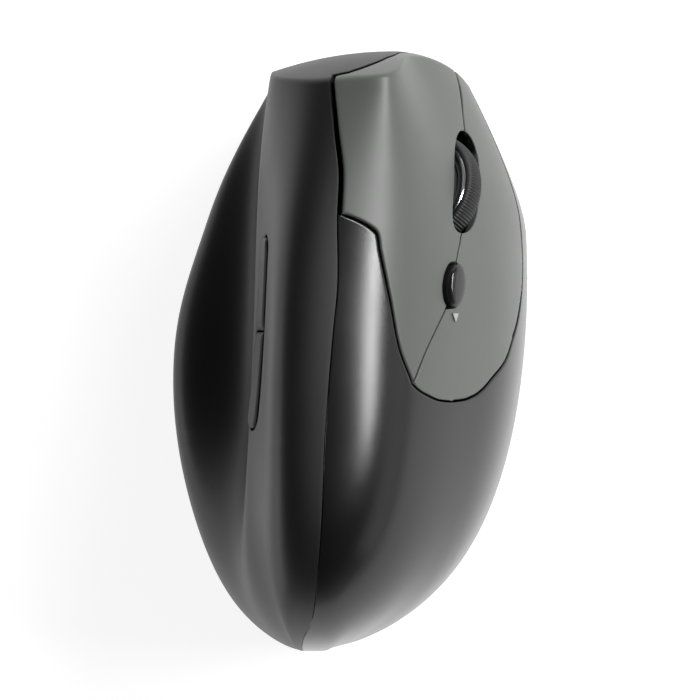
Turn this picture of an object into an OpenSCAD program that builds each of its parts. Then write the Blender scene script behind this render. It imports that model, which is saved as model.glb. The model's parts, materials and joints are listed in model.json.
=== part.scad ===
// Upright right-handed computer mouse, cordless. Millimetres.
// +X is the finger side, +Y the front, +Z up from the desk.

/* [Case] */
// Overall length, rear to front
body_l = 117.3; // [105:0.1:130]
// Overall width, thumb side to finger side
body_w = 71.1; // [62:0.1:80]
// Overall height above the desk
body_h = 67; // [58:0.5:76]
// Wall thickness of the covers
wall = 1.9; // [1.4:0.1:2.4]
// Gap round the button caps
cap_gap = 0.35; // [0.25:0.05:0.6]
// Gap between the left cap and the thumb cover
seam_gap = 0.7; // [0.5:0.05:1]
// Thickness of the glide feet
foot_t = 0.7; // [0.5:0.1:1.2]
// Thickness of the base plate
base_t = 2; // [1.6:0.1:2.6]

/* [Wheel] */
// Radius of the tyre
wheel_r = 12; // [10:0.5:13]
// Width of the tyre
wheel_w = 5.2; // [4:0.2:6]
// Half width of the slot that the wheel stands in
wheel_slot = 3.95; // [3.6:0.05:4.4]
// Height of the tyre above the finger surface
wheel_out = 3; // [1.5:0.5:4.5]
// Axle radius
axle_r = 1.5; // [1:0.1:2]
// Tilt of the finger side from level, in degrees
tilt = 60; // [50:1:66]

/* [Buttons] */
// Half length of the oval button
dpi_l = 4.2; // [3.5:0.1:4.8]
// Half width of the oval button
dpi_w = 2.9; // [2.2:0.1:3.2]
// Height of the oval button above the finger surface
dpi_out = 1.5; // [0.6:0.1:2]
// Half height of the thumb button slot
slot_h = 3.4; // [2.8:0.1:4]
// How far the thumb buttons stand out
thumb_out = 0.9; // [0.4:0.1:1.4]
// Radius of the hinge pin of the caps
pin_r = 1; // [0.8:0.1:1.4]

/* [Inside] */
// Battery radius
batt_r = 5.25; // [5:0.05:5.6]
// Battery length
batt_l = 44.5; // [40:0.5:46]
// Thickness of the circuit boards
board_t = 1.6; // [1:0.2:2]

/* [Hidden] */
fit = 0.05;
kx = body_w / 71.1;
ky = body_l / 117.3;
kz = (body_h - 3) / 64;
cx = 0.1;
cy = 0.95;
edge_z = foot_t + base_t + 0.3;

function mix(a, b, t) = a * (1 - t) + b * t;
function clamp(x, a, b) = max(a, min(b, x));

// --- smooth surface: a cubic spline net of cross sections -------------------------------------
// Each station: y, left edge x z, crease share, crease x z, ridge x z, shoulder x z, side x z,
// right edge x, height of the right turn-under.
STATIONS = [
    [-59.6,  -8.0,  3.0, 0.0,  -8.0,  3.0,  -8.0,  3.0, -8.0,  3.0, -8.0,  3.0, -8.0,  3.0],
    [-59.8, -12.0,  9.0, 0.0, -11.0, 18.0,  -8.0, 34.0, -6.5, 30.0, -5.0, 20.0, -3.5,  9.0],
    [-54.5, -21.8, 10.0, 0.0, -15.0, 30.0,  -9.0, 55.0,  1.0, 50.0,  7.0, 34.0, 11.2, 12.0],
    [-40.0, -30.0, 11.0, 0.3, -20.0, 36.0, -11.5, 66.5,  5.0, 61.0, 18.0, 41.0, 25.5, 13.0],
    [-18.0, -36.0, 10.5, 1.0, -19.8, 38.0, -13.0, 67.5,  7.5, 63.0, 23.5, 40.0, 33.0, 13.0],
    [  5.0, -36.2, 10.5, 1.0, -18.6, 39.0, -12.5, 67.2,  8.0, 62.5, 25.5, 39.0, 35.6, 12.0],
    [ 26.0, -29.8, 12.5, 1.0, -18.2, 40.0, -10.5, 65.5,  9.0, 61.5, 24.5, 41.0, 35.4, 12.0],
    [ 42.5, -25.0, 13.5, 1.0, -17.2, 41.0,  -7.0, 62.2,  8.0, 61.0, 17.0, 44.5, 35.0, 12.0],
    [ 53.0, -15.6, 15.0, 1.0, -15.4, 42.0,  -5.0, 59.6,  8.0, 61.0, 10.5, 44.0, 24.8, 20.0]];
ZB = 3;

// Control points of one section, from the left base edge over the ridge to the right base edge.
function section(s) =
    let(xl = s[1], zl = s[2], k = s[3], xc = s[4], zc = s[5], xt = s[6], zt = s[7],
        xs = s[8], zs = s[9], xm = s[10], zm = s[11], xr = s[12], zlow = s[13],
        f = xc - xl, rec = 2.2 * min(1, f / 14),
        thumb = [[xl + 0.4, ZB], [xl, ZB + 3], [xl + 0.02 * f, zl - 0.5],
            [xl + 0.22 * f, zl + 1.2], [xl + 0.62 * f, zl + 2.5], [xc + 0.05 * f, zl + 5],
            [xc + rec, zc - 12], [xc + 0.2 * rec, zc - 2.5], [xc - 0.15 * rec, zc - 0.2],
            [xc + 0.45 * rec, zc + 2.5], [xc + 0.8 + 1.1 * rec, zc + 0.44 * (zt - zc)]],
        dome = [for (i = [0:10]) let(a = 7.5 * i)
            [xt - (xt - xl) * cos(a), ZB + (zt - ZB) * sin(a)]],
        finger = [[xt - 3, zt - 0.8], [xt + 5.5, zt + 0.3], [xs, zs],
            [(xs + xm) / 2 + 0.8, (zs + zm) / 2 + 0.8], [xm, zm],
            [(xm + xr) / 2 + 2.2, (zm + zlow) / 2 + 1.5], [xr, zlow], [xr, ZB]])
    xl == xr ? [for (i = [0:18]) [xl, ZB]] :
    concat([for (i = [0:10]) mix(dome[i], thumb[i], k)], finger);

function unit(v) = norm(v) < 1e-9 ? [0, 0] : v / norm(v);
// The net moved inwards by w, which makes the inner face of a wall.
function net(w) = [for (s = STATIONS) let(P = section(s), n = len(P),
        back = w * clamp((-36 - s[0]) / 20, 0, 1))
    [for (i = [0:n - 1]) let(t = unit(P[min(n - 1, i + 1)] - P[max(0, i - 1)]),
            d = i == 0 ? [1, 0] : i == n - 1 ? [-1, 0] : [t[1], -t[0]],
            m = (t == [0, 0]) ? [0, 0] : d * w)
        [kx * (P[i][0] + cx) + m[0], ky * (s[0] + cy) + back,
            edge_z + kz * (P[i][1] + m[1] / kz - ZB)]]];

function knot(i, m) = clamp(i - 3, 0, m);
function level(P, x, m, k, r) = [for (j = [0:len(P) - 2])
    let(a = knot(j + r + k - 3, m), b = knot(j + 1 + k, m)) mix(P[j], P[j + 1], (x - a) / (b - a))];
function spline4(P, x, m, k) = level(level(level(P, x, m, k, 1), x, m, k, 2), x, m, k, 3)[0];
// Point of net N at girth share u (left edge to right edge) and length share v (rear to front).
function raw(N, u, v) =
    let(mu = len(N[0]) - 3, xu = clamp(u, 0, 1 - 1e-9) * mu, ku = floor(xu) + 3,
        mv = len(N) - 3, xv = clamp(v, 0, 1 - 1e-9) * mv, kv = floor(xv) + 3)
    spline4([for (i = [ku - 3:ku]) spline4([for (j = [kv - 3:kv]) N[j][i]], xv, mv, kv)],
        xu, mu, ku);
// The front face, y as a function of x and z.
function front_y(x, z) = let(X = x / kx - cx, Z = (z - edge_z) / kz + ZB)
    ky * (57.7 - (X < 8 ? 0.0074 : 0.0245) * pow(X - 8, 2) - 0.0072 * pow(Z - 30, 2) + cy);
function surf(N, w, u, v) = let(p = raw(N, u, v), s = pow(clamp((v - 0.6) / 0.4, 0, 1), 2))
    [p[0], p[1] + s * (front_y(p[0], p[2]) - w - ky * (53 + cy)), p[2]];
// The front face inside the arch: r runs from the arch down to the base line.
BASE_SHARE = [[0, 0], [0.44, 0.23], [0.64, 0.43], [0.8, 0.58], [0.88, 0.68], [0.94, 0.83], [1, 1]];
function front_pt(N, w, u, r) = let(a = raw(N, u, 1), l = raw(N, 0, 1), e = raw(N, 1, 1),
        x = mix(a[0], mix(l[0], e[0], lookup(u, BASE_SHARE)), r), z = mix(a[2], edge_z, r))
    [x, front_y(x, z) - w, z];
function front_len(N, u) = norm(front_pt(N, 0, u, 0) - front_pt(N, 0, u, 1)) + 1e-6;

// Smooth curve through [x, y] pairs with rising x.
function slope_at(T, i) = let(a = max(0, i - 1), b = min(len(T) - 1, i + 1))
    (T[b][1] - T[a][1]) / (T[b][0] - T[a][0]);
function seg(T, x, i = 0) = (i >= len(T) - 2 || x < T[i + 1][0]) ? i : seg(T, x, i + 1);
function curve(T, x0) = let(x = clamp(x0, T[0][0], T[len(T) - 1][0]), i = seg(T, x),
        h = T[i + 1][0] - T[i][0], t = (x - T[i][0]) / h)
    (2 * t * t * t - 3 * t * t + 1) * T[i][1] + (t * t * t - 2 * t * t + t) * h * slope_at(T, i)
    + (3 * t * t - 2 * t * t * t) * T[i + 1][1] + (t * t * t - t * t) * h * slope_at(T, i + 1);

// Outlines as [length share, girth share].
SEAM = [[0, 0.61], [0.136, 0.64], [0.2, 0.664], [0.36, 0.687], [0.52, 0.695], [0.66, 0.7],
    [0.735, 0.701], [0.832, 0.694], [0.896, 0.688], [0.958, 0.67], [1, 0.655]];
CAP_LEFT = [[0.583, 0.778], [0.63, 0.762], [0.702, 0.75], [0.776, 0.738], [0.8, 0.7345],
    [0.81, 0.728], [0.822, 0.715], [0.832, 0.7]];
SPLIT = [[0.583, 0.778], [0.634, 0.795], [0.69, 0.819], [0.724, 0.831], [0.758, 0.836],
    [0.806, 0.852], [0.874, 0.879], [0.936, 0.906], [0.962, 0.918], [1, 0.942]];
TIP_LEFT = [[0.558, 0.832], [0.56, 0.816], [0.566, 0.801], [0.574, 0.787], [0.583, 0.778]];
CAP_RIGHT = [[0.558, 0.838], [0.56, 0.858], [0.57, 0.881], [0.59, 0.902], [0.612, 0.923],
    [0.642, 0.936], [0.678, 0.949], [0.74, 0.96], [0.82, 0.965], [1, 0.965]];
wheel_v = [0.871, 0.069];
dpi_v = [0.7243, 0.0345];
function lens(v, c, p) = let(d = abs(v - c[0]) / c[1]) d >= 1 ? 0 : sqrt(1 - pow(d, p));
// Extra half width of the split for the wheel slot, in mm. The slot is wider on its inner side.
relief = [0.2, 0.0095];
function split_half(v, r = [0, 0]) = (v > 0.96 ? 0.16 * min(1, (v - 0.96) / 0.02) : 0)
    + (wheel_slot + r[0]) * lens(v, [wheel_v[0], wheel_v[1] + r[1]], 4);
// Girth share of the edge of the oval button's opening, or undef outside it.
dpi_yaw = 14;
dpi_gap = 0.45;
dpi_u = 0.8298;
function oval_u(v, side, g) = let(y = (v - dpi_v[0]) * 128.6 * ky, a = dpi_l + g, b = dpi_w + g,
        s = sin(dpi_yaw), c = cos(dpi_yaw), A = c * c / b / b + s * s / a / a,
        B = 2 * y * s * c * (1 / a / a - 1 / b / b), C = y * y * (s * s / b / b + c * c / a / a) - 1,
        D = B * B - 4 * A * C)
    D <= 0 ? undef : dpi_u + (-B + side * sqrt(D)) / 2 / A / 210;
function round_oval(L, V, side, g) = [for (i = [0:len(L) - 1]) let(o = oval_u(V[i], side, g))
    o == undef ? L[i] : side < 0 ? [min(L[i][0], o), L[i][1]] : [max(L[i][0], o), L[i][1]]];

function sorted(L) = len(L) < 2 ? L : let(p = L[floor(len(L) / 2)])
    concat(sorted([for (x = L) if (x < p) x]), [p], sorted([for (x = L) if (x > p) x]));
function arc_rows(c, n) = [for (i = [0:n]) c[0] - c[1] * cos(180 * i / n)];
STEP_TOP = 0.832;
CAP_ROWS = sorted(concat([0.5845, 0.592, 0.604, 0.622, 0.645, 0.668], arc_rows(dpi_v, 8),
    [0.775, 0.79, 0.799, 0.804, 0.814, 0.82, 0.829, STEP_TOP, 0.834], arc_rows(wheel_v, 8),
    [0.95, 0.965, 0.983, 1]));
TIP_ROWS = [0.558, 0.5595, 0.5625, 0.568, 0.5745];
LIP = [[0.655, 0.8], [0.68, 2.2], [0.7, 4.4], [0.75, 11], [0.8, 12.6], [0.85, 9], [0.9, 10.7],
    [0.94, 12], [0.962, 4], [0.972, 0]];
lip_gap = 1.3;

// Millimetres for each unit of girth share and length share at a point.
function scale_at(N, q) = let(u = clamp(q[0], 0.004, 0.996), v = clamp(q[1], 0.004, 0.996))
    [norm(surf(N, 0, u + 0.004, v) - surf(N, 0, u - 0.004, v)) / 0.008,
     norm(surf(N, 0, u, v + 0.004) - surf(N, 0, u, v - 0.004)) / 0.008];
// A [u, v] line moved sideways by g mm, to its right.
function beside(N, L, g) = [for (i = [0:len(L) - 1]) let(n = len(L) - 1,
        m = scale_at(N, L[i]), d = L[min(n, i + 1)] - L[max(0, i - 1)],
        t = unit([d[0] * m[0], d[1] * m[1]]), o = g[0] == undef ? g : g[i])
    [L[i][0] + o * t[1] / m[0], min(1, L[i][1] - o * t[0] / m[1] * (L[i][1] == 1 ? 0 : 1))]];

// Closed wall between two grids of points; M says which cells are there.
module grid_wall(O, I, M) {
    nr = len(O);
    nc = len(O[0]);
    N = nr * nc;
    P = concat([for (r = O) each r], [for (r = I) each r]);
    function on(j, i) = j >= 0 && i >= 0 && j < nr - 1 && i < nc - 1 && M[j][i];
    faces = [for (j = [0:nr - 2]) for (i = [0:nc - 2]) if (on(j, i))
        let(a = j * nc + i, b = a + 1, d = a + nc, c = d + 1)
        each [[a, d, c], [a, c, b], [a + N, b + N, c + N], [a + N, c + N, d + N],
            if (!on(j - 1, i)) each [[a, b, b + N], [a, b + N, a + N]],
            if (!on(j + 1, i)) each [[c, d, d + N], [c, d + N, c + N]],
            if (!on(j, i - 1)) each [[d, a, a + N], [d, a + N, d + N]],
            if (!on(j, i + 1)) each [[b, c, c + N], [b, c + N, b + N]]]];
    polyhedron(P, [for (f = faces) if (norm(P[f[0]] - P[f[1]]) > 1e-4
        && norm(P[f[1]] - P[f[2]]) > 1e-4 && norm(P[f[2]] - P[f[0]]) > 1e-4) f], convexity = 8);
}

// --- frames of reference -----------------------------------------------------------------------
// On the finger slope: x down the slope, z out of the surface, origin on the wheel's axle.
frame_depth = 9;
slope_tilt = atan(tan(tilt) * kz / kx);
wheel_at = [kx * 22.2, ky * 32.75, edge_z + kz * 38.1]
    - frame_depth * [sin(slope_tilt), 0, cos(slope_tilt)];
module slope() translate(wheel_at) rotate([0, slope_tilt, 0]) children();
// Height of the inner frame's sloping plate, on its underside, at x.
function plate_z(x) = wheel_at[2] - 10 * cos(slope_tilt)
    - (x - wheel_at[0] + 10 * sin(slope_tilt)) * tan(slope_tilt);
// The wheel lies along the slot, which runs askew on the slope.
wheel_yaw = 20.4;
wheel_back = 1.7;
module wheel_place() slope()
    translate([-wheel_back * sin(wheel_yaw), -wheel_back * cos(wheel_yaw), -0.2])
    rotate([0, 0, -wheel_yaw]) children();
// A smaller wheel has its axle further out, so that it stands out as far.
axle_rise = frame_depth - wheel_r + wheel_out;
module axle_place() wheel_place() translate([0, 0, axle_rise]) children();
dpi_tilt = atan(tan(56) * kz / kx);
dpi_at = [kx * 19.7, ky * 13.05, edge_z + kz * 45.2];
module dpi_place() translate(dpi_at) rotate([0, dpi_tilt, 0]) rotate([0, 0, -dpi_yaw]) children();
// On the thumb wall: z out of the wall, x up, y forward.
thumb_tilt = atan(tan(77) * kz / kx);
thumb_at = [kx * -17.1, ky * 3.6, edge_z + kz * 41.4];
module thumb_place() translate(thumb_at) rotate([0, -thumb_tilt, 0]) children();
module block(a, b) translate(a) cube(b - a);
module rod(r, l, c = [0, 0, 0]) translate(c) rotate([0, 90, 0]) cylinder(r = r, h = l, $fn = 48);

// --- covers ------------------------------------------------------------------------------------
SLOT = [0.517, 0.8];
THUMB_SPLIT = 0.657;
function slot_z(v) = edge_z + kz * (38.5 + 6 * (v - SLOT[0]) / (SLOT[1] - SLOT[0]));
function slot_half(v) = let(r = slot_h / 137 / ky, d = min(v - SLOT[0], SLOT[1] - v))
    d <= 0 ? 0.9 : d >= r ? slot_h : max(0.9, slot_h * sqrt(1 - pow(1 - d / r, 2)));
function u_at_z(N, z, v, a = 0.4, b = 0.62, n = 14) = n == 0 ? (a + b) / 2 :
    let(m = (a + b) / 2) raw(N, m, v)[2] < z ? u_at_z(N, z, v, m, b, n - 1)
    : u_at_z(N, z, v, a, m, n - 1);
function slot_u(N, v, side) = u_at_z(N, slot_z(v) + side * slot_half(v), v);
function spread(a, b, n) = [for (i = [1:n]) mix(a, b, i / n)];

LIP_KINKS = [0.68, 0.7, 0.725, 0.75, 0.775, 0.8, 0.825, 0.85, 0.875, 0.9, 0.92, 0.94, 0.951,
    0.962, 0.972, 0.986, 1];
module thumb_cover() {
    NO = net(0);
    NI = net(wall);
    ends = slot_h / 137 / ky;
    rows = concat([0, 0.02, 0.05, 0.09, 0.14, 0.2, 0.26, 0.32, 0.38, 0.44, 0.485],
        [for (k = [0, 0.06, 0.25, 0.55, 1]) SLOT[0] + k * ends],
        spread(SLOT[0] + 2 * ends, SLOT[1] - 2 * ends, 6),
        [for (k = [1, 0.55, 0.25, 0.06, 0]) SLOT[1] - k * ends],
        [0.832, 0.864, 0.896, 0.928, 0.958, 0.98, 1]);
    R = len(rows);
    left = 14;
    mid = 2;
    right = 7;
    steps = 4;
    us = curve(SEAM, 1);
    far = concat([us + 0.002, us + 0.011], LIP_KINKS);
    ext = len(far);
    cols = [for (v = rows) let(a = slot_u(NO, clamp(v, 0.3, 1), -1),
            b = slot_u(NO, clamp(v, 0.3, 1), 1), s = curve(SEAM, v))
        concat([0], spread(0, a, left), spread(a, b, mid), spread(b, s, right))];
    function r0(u) = (lookup(u, LIP) + (u > 0.968 ? 0.15 : lip_gap)) / front_len(NO, u);
    function grid(N, w) = concat(
        [for (j = [0:R - 1]) concat([for (u = cols[j]) surf(N, w, u, rows[j])],
            [for (u = far) front_pt(N, w, u, min(1, r0(u)))])],
        [for (k = [1:steps]) concat([for (u = cols[R - 1]) front_pt(N, w, u, k / steps)],
            [for (u = far) front_pt(N, w, u, mix(min(1, r0(u)), 1, k / steps))])]);
    edge = left + mid + right;
    M = [for (j = [0:R + steps - 2]) [for (i = [0:edge + ext - 1])
        j >= R - 1 ? true : i >= edge ? false :
        !(i >= left && i < left + mid && rows[j] >= SLOT[0] - 1e-6 && rows[j + 1] <= SLOT[1] + 1e-6)]];
    color([0.13, 0.13, 0.14]) grid_wall(grid(NO, 0), grid(NI, wall), M);
}

// The palm cover is a ring strip between the cap outline and the outer rim.
PALM_RIM = [[0, 0.832], [0.3, 0.36], [0.4, 0]];
module palm_cover() {
    NO = net(0);
    NI = net(wall);
    up = [for (v = CAP_ROWS) if (v <= STEP_TOP) v];
    outline = concat(
        [for (k = [len(up) - 1:-1:0]) [curve(CAP_LEFT, up[k]), up[k]]],
        [for (k = [len(TIP_ROWS) - 1:-1:0]) [curve(TIP_LEFT, TIP_ROWS[k]), TIP_ROWS[k]]],
        [for (v = TIP_ROWS) [curve(CAP_RIGHT, v), v]],
        [for (v = CAP_ROWS) [curve(CAP_RIGHT, v), v]]);
    inner = beside(NO, outline, cap_gap / 2);
    n = len(inner) - 1;
    function rim(f) = f < 0.4 ? let(v = lookup(f, PALM_RIM)) [curve(SEAM, v) + 0.0016, v]
        : f < 0.43 ? [mix(curve(SEAM, 0), 1, (f - 0.4) / 0.03), 0]
        : [1, lookup(f, [[0.43, 0], [0.53, 0.36], [1, 1]])];
    T = [0, 0.08, 0.2, 0.34, 0.5, 0.66, 0.8, 0.92, 1];
    function uv(f, a, t) = mix(a, rim(f), t);
    function grid(N, w) = [for (t = T) [for (i = [0:n]) let(q = uv(i / n, inner[i], t))
        surf(N, w, q[0], q[1])]];
    M = [for (j = [0:len(T) - 2]) [for (i = [0:n - 1]) true]];
    color([0.16, 0.16, 0.17]) grid_wall(grid(NI, wall), grid(NO, 0), M);
}

// One cap: a ruled patch between two [u, v] lines plus a lip down the front face.
// A2 and B2 are the lines of its inner face.
module cap_patch(A, B, A2, B2, n) {
    NO = net(0);
    NI = net(wall);
    k = len(A) - 1;
    function grid(N, w, A, B) = concat(
        [for (j = [0:k]) [for (i = [0:n]) let(q = mix(A[j], B[j], i / n)) surf(N, w, q[0], q[1])]],
        [for (r = [0.5, 1]) [for (i = [0:n]) let(u = mix(A[k], B[k], i / n)[0])
            front_pt(N, w, u, r * max(0.3, lookup(u, LIP)) / front_len(NO, u))]]);
    M = [for (j = [0:k + 1]) [for (i = [0:n - 1]) true]];
    grid_wall(grid(NO, 0, A, B), grid(NI, wall, A2, B2), M);
}

function split_line(V) = [for (v = V) [curve(SPLIT, v), v]];
module left_cap() {
    N = net(0);
    V = CAP_ROWS;
    A = [for (v = V) [v <= STEP_TOP ? curve(CAP_LEFT, v) : curve(SEAM, v) + 0.001, v]];
    function edge(r) = beside(N, A, [for (v = V) (v > STEP_TOP ? seam_gap : cap_gap / 2 + 0.05) + r]);
    function inside(r) = round_oval(beside(N, split_line(V),
        [for (v = V) -cap_gap / 2 - split_half(v, r)]), V, -1, dpi_gap);
    color([0.5, 0.51, 0.5]) cap_patch(edge(0), inside([0, 0]), edge(0.45), inside(relief), 12);
}

module right_cap() {
    N = net(0);
    V = concat(TIP_ROWS, CAP_ROWS);
    A = [for (v = V) [v < 0.583 ? curve(TIP_LEFT, v) : curve(SPLIT, v), v]];
    B = beside(N, [for (v = V) [curve(CAP_RIGHT, v), v]],
        [for (v = V) -cap_gap / 2 - (v > 0.65 ? 0.35 : 0.05)]);
    function inside(r) = round_oval(beside(N, A,
        [for (v = V) cap_gap / 2 + (v < 0.583 ? 0 : split_half(v, r))]), V, 1, dpi_gap);
    color([0.5, 0.51, 0.5]) cap_patch(inside([0, 0]), B, inside(relief), B, 12);
}

// --- base --------------------------------------------------------------------------------------
EDGE_V = concat([0, 0.008, 0.02, 0.034], [for (v = [0.05:0.025:0.976]) v], [1]);
function outline(w) = let(N = net(w), a = raw(N, 0, 1)[0], b = raw(N, 1, 1)[0]) concat(
    [for (v = EDGE_V) let(p = surf(N, w, 0, v)) [p[0], p[1]]],
    [for (k = [1:9]) let(x = mix(a, b, k / 10)) [x, front_y(x, edge_z) - w]],
    [for (i = [len(EDGE_V) - 1:-1:1]) let(p = surf(N, w, 1, EDGE_V[i])) [p[0], p[1]]]);
top_z = foot_t + base_t;
door_x = [-15.4, 5.2];
door_front = -5;
batt_x = [-10.6, 0.4];
batt_z = top_z + 0.5 + batt_r;
batt_y = -48.9;
usb_box = [[9, -35.5], [22, -13.5]];
SCREWS = [[-25, -16], [25, -4], [-14, 41], [19, 42]];
BOARD_SCREWS = [[-11, 2], [6, 2], [-11, 44], [6, 44]];
POSTS = [[-5, 2], [-5, 38], [11, 2], [11, 38]];
knob_at = [-12, 30];
sensor_at = [2, 22];

// The covers lean inwards by this much beside the cell box.
shell_lean = 1.4;
module base_plate() color([0.1, 0.1, 0.11]) difference() {
    union() {
        translate([0, 0, foot_t]) linear_extrude(base_t) polygon(outline(0.5));
        translate([0, 0, top_z - 0.2]) linear_extrude(1.8) difference() {
            polygon(outline(wall + 0.7));
            polygon(outline(wall + 1.9));
        }
        intersection() {
            union() {
                block([door_x[0] - 2.2, batt_y - 2.9, top_z - 0.2], [door_x[1] + 2.2, -2.2, top_z + 11]);
                block([usb_box[0][0] - 1.2, usb_box[0][1] - 1.2, top_z - 0.2],
                    [usb_box[1][0] + 1.2, usb_box[1][1] + 1.2, 8]);
            }
            translate([0, 0, top_z - 0.2]) linear_extrude(20) polygon(outline(wall + shell_lean));
        }
        for (s = SCREWS) translate([s[0], s[1], top_z - 0.2]) cylinder(r = 3, h = 5, $fn = 40);
        for (s = BOARD_SCREWS) translate([s[0], s[1], top_z - 0.2])
            cylinder(r = 2.4, h = 8 - top_z + 0.2, $fn = 40);
    }
    block([door_x[0], -70, 0], [door_x[1], door_front, top_z + 0.05]);
    block([door_x[0] - 1, batt_y - 1.7, top_z], [door_x[1] + 1, -3.4, 30]);
    block([usb_box[0][0], usb_box[0][1], 0], [usb_box[1][0], usb_box[1][1], 6.6]);
    for (s = SCREWS) translate([s[0], s[1], -1]) {
        cylinder(r = 1.1, h = 20, $fn = 32);
        cylinder(r = 2.3, h = 1 + foot_t + 1.2, $fn = 32);
    }
    for (s = BOARD_SCREWS) translate([s[0], s[1], top_z + 0.5]) cylinder(r = 1.05, h = 9, $fn = 32);
    translate([sensor_at[0], sensor_at[1], 0]) cylinder(r = 4.2, h = 9, $fn = 48);
    block([knob_at[0] - 1.4, knob_at[1] - 1.1, 0], [knob_at[0] + 4.2, knob_at[1] + 1.1, 9]);
}

module battery_door() color([0.11, 0.11, 0.12]) {
    translate([0, 0, foot_t + 0.1]) linear_extrude(base_t - 0.3) intersection() {
        polygon(outline(0.5));
        translate([door_x[0] + 0.15, -70])
            square([door_x[1] - door_x[0] - 0.3, 70 + door_front - 0.15]);
    }
}

module pad(l, w) linear_extrude(foot_t) hull() {
    translate([-l / 2 + w / 2, 0]) circle(r = w / 2, $fn = 40);
    translate([l / 2 - w / 2, 0]) circle(r = w / 2, $fn = 40);
}
module front_glide() color([0.2, 0.2, 0.21]) translate([4, 46.5, 0]) pad(24, 5.5);
module left_glide() color([0.2, 0.2, 0.21]) translate([-24, -34, 0]) rotate([0, 0, -62]) pad(14, 6);
module right_glide() color([0.2, 0.2, 0.21]) translate([11.5, -45.5, 0]) rotate([0, 0, 40]) pad(9, 6);

module screw(r, h, head_r, head_h) {
    cylinder(r = r, h = h, $fn = 32);
    difference() {
        cylinder(r = head_r, h = head_h, $fn = 40);
        translate([-head_r * 0.7, -0.25, -1]) cube([head_r * 1.4, 0.5, 1.5]);
        translate([-0.25, -head_r * 0.7, -1]) cube([0.5, head_r * 1.4, 1.5]);
    }
}
module case_screws() color([0.35, 0.35, 0.36])
    for (s = SCREWS) translate([s[0], s[1], foot_t + 0.2]) screw(1, 6, 2.1, 1);
module board_screws() color([0.6, 0.6, 0.6])
    for (s = BOARD_SCREWS) translate([s[0], s[1], 8 + board_t + 1.1]) rotate([180, 0, 0])
        screw(1, 6, 2, 1.1);

// --- wheel -------------------------------------------------------------------------------------
ring_r = wheel_r - 1.55;
module wheel_tyre() color([0.12, 0.12, 0.13]) axle_place() rotate([0, 90, 0])
    rotate_extrude($fn = 96) polygon([[ring_r, -wheel_w / 2], [wheel_r - 0.9, -wheel_w / 2],
        [wheel_r - 0.35, -wheel_w / 2 + 0.6], [wheel_r, -wheel_w / 2 + 1.7],
        [wheel_r, wheel_w / 2 - 1.7], [wheel_r - 0.35, wheel_w / 2 - 0.6],
        [wheel_r - 0.9, wheel_w / 2], [ring_r, wheel_w / 2]]);
module wheel_ring() color([0.85, 0.85, 0.87]) axle_place() difference() {
    union() {
        rod(ring_r - 0.02, 0.9, [-wheel_w / 2 - 0.1, 0, 0]);
        rod(ring_r - 0.02, 0.9, [wheel_w / 2 - 0.8, 0, 0]);
    }
    rod(ring_r - 0.9, wheel_w + 2, [-wheel_w / 2 - 1, 0, 0]);
}
module wheel_hub() color([0.42, 0.42, 0.43]) axle_place() union() {
    rod(ring_r - 0.92, wheel_w - 0.6, [-wheel_w / 2 + 0.3, 0, 0]);
    rod(ring_r - 0.02, wheel_w - 1.84, [-wheel_w / 2 + 0.92, 0, 0]);
    rod(axle_r, 11.8, [-5.9, 0, 0]);
}
tact_at = [8.9, -9];
module wheel_carrier() color([0.25, 0.25, 0.27]) wheel_place() difference() {
    union() {
        block([-5.2, -wheel_r - 2.4, -3.9], [5.2, wheel_r + 2.4, -1.2]);
        block([-5.2, -4.5, -3.9], [5.2, 4.5, 2.6 + axle_rise]);
        block([5, tact_at[1] - 2, -2.1], [tact_at[0] + 2, tact_at[1] + 2, -1.2]);
    }
    block([-3.6, -wheel_r - 1.2, -9], [3.6, wheel_r + 1.2, 9]);
    rod(axle_r + fit, 20, [-10, 0, axle_rise]);
}
module carrier_spring() color([0.75, 0.75, 0.76]) wheel_place() union() {
    block([-4.4, wheel_r + 1.2, -4.8], [-3.4, wheel_r + 3, -4.65]);
    block([3.4, wheel_r + 1.2, -4.8], [4.4, wheel_r + 3, -4.65]);
    block([-4.4, wheel_r + 2.6, -4.8], [4.4, wheel_r + 3, -4.65]);
}
module encoder_body() color([0.75, 0.75, 0.72]) wheel_place()
    block([-8.7, -3.2, -4.8], [-6.3, 3.2, 4 + axle_rise]);

// --- boards and switches on the finger slope ---------------------------------------------------
BX = [-18, 16];
BY = [-30, 18];
board_z = -5;
pivot_y = -44.5;
pivot_z = 1;
lever_x = [-13.4, 12.5];
switch_y = 2;
module upper_board() color([0.1, 0.35, 0.2]) slope() difference() {
    block([BX[0], BY[0], board_z - board_t], [BX[1], BY[1], board_z]);
    for (x = [BX[0] + 3, BX[1] - 3]) translate([x, BY[0] + 3, -20]) cylinder(r = 1.1, h = 40, $fn = 32);
    slope_hole(1.2, 4.4);
}
// The well for the wheel, through the board and the frame.
module slope_hole(l, w) translate([-wheel_back * sin(wheel_yaw), -wheel_back * cos(wheel_yaw), 0])
    rotate([0, 0, -wheel_yaw]) block([-w, -wheel_r - l, -wheel_r - 2], [w, wheel_r + l, 20]);
module switch_body(x, y) slope() block([x - 2.9, y - 6.4, board_z], [x + 2.9, y + 6.4, board_z + 6.5]);
module plunger(x, y, z, h) slope() translate([x, y, z]) cylinder(r = 0.9, h = h, $fn = 32);
module left_switch() color([0.15, 0.15, 0.16]) difference() {
    switch_body(lever_x[0], switch_y);
    plunger(lever_x[0], switch_y, 0.2, 5);
}
module right_switch() color([0.15, 0.15, 0.16]) difference() {
    switch_body(lever_x[1], switch_y);
    plunger(lever_x[1], switch_y, 0.2, 5);
}
module left_plunger() color([0.85, 0.3, 0.2]) slope() translate([lever_x[0], switch_y, 0.9])
    cylinder(r = 0.85, h = 1.4, $fn = 32);
module right_plunger() color([0.85, 0.3, 0.2]) slope() translate([lever_x[1], switch_y, 0.9])
    cylinder(r = 0.85, h = 1.4, $fn = 32);
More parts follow.
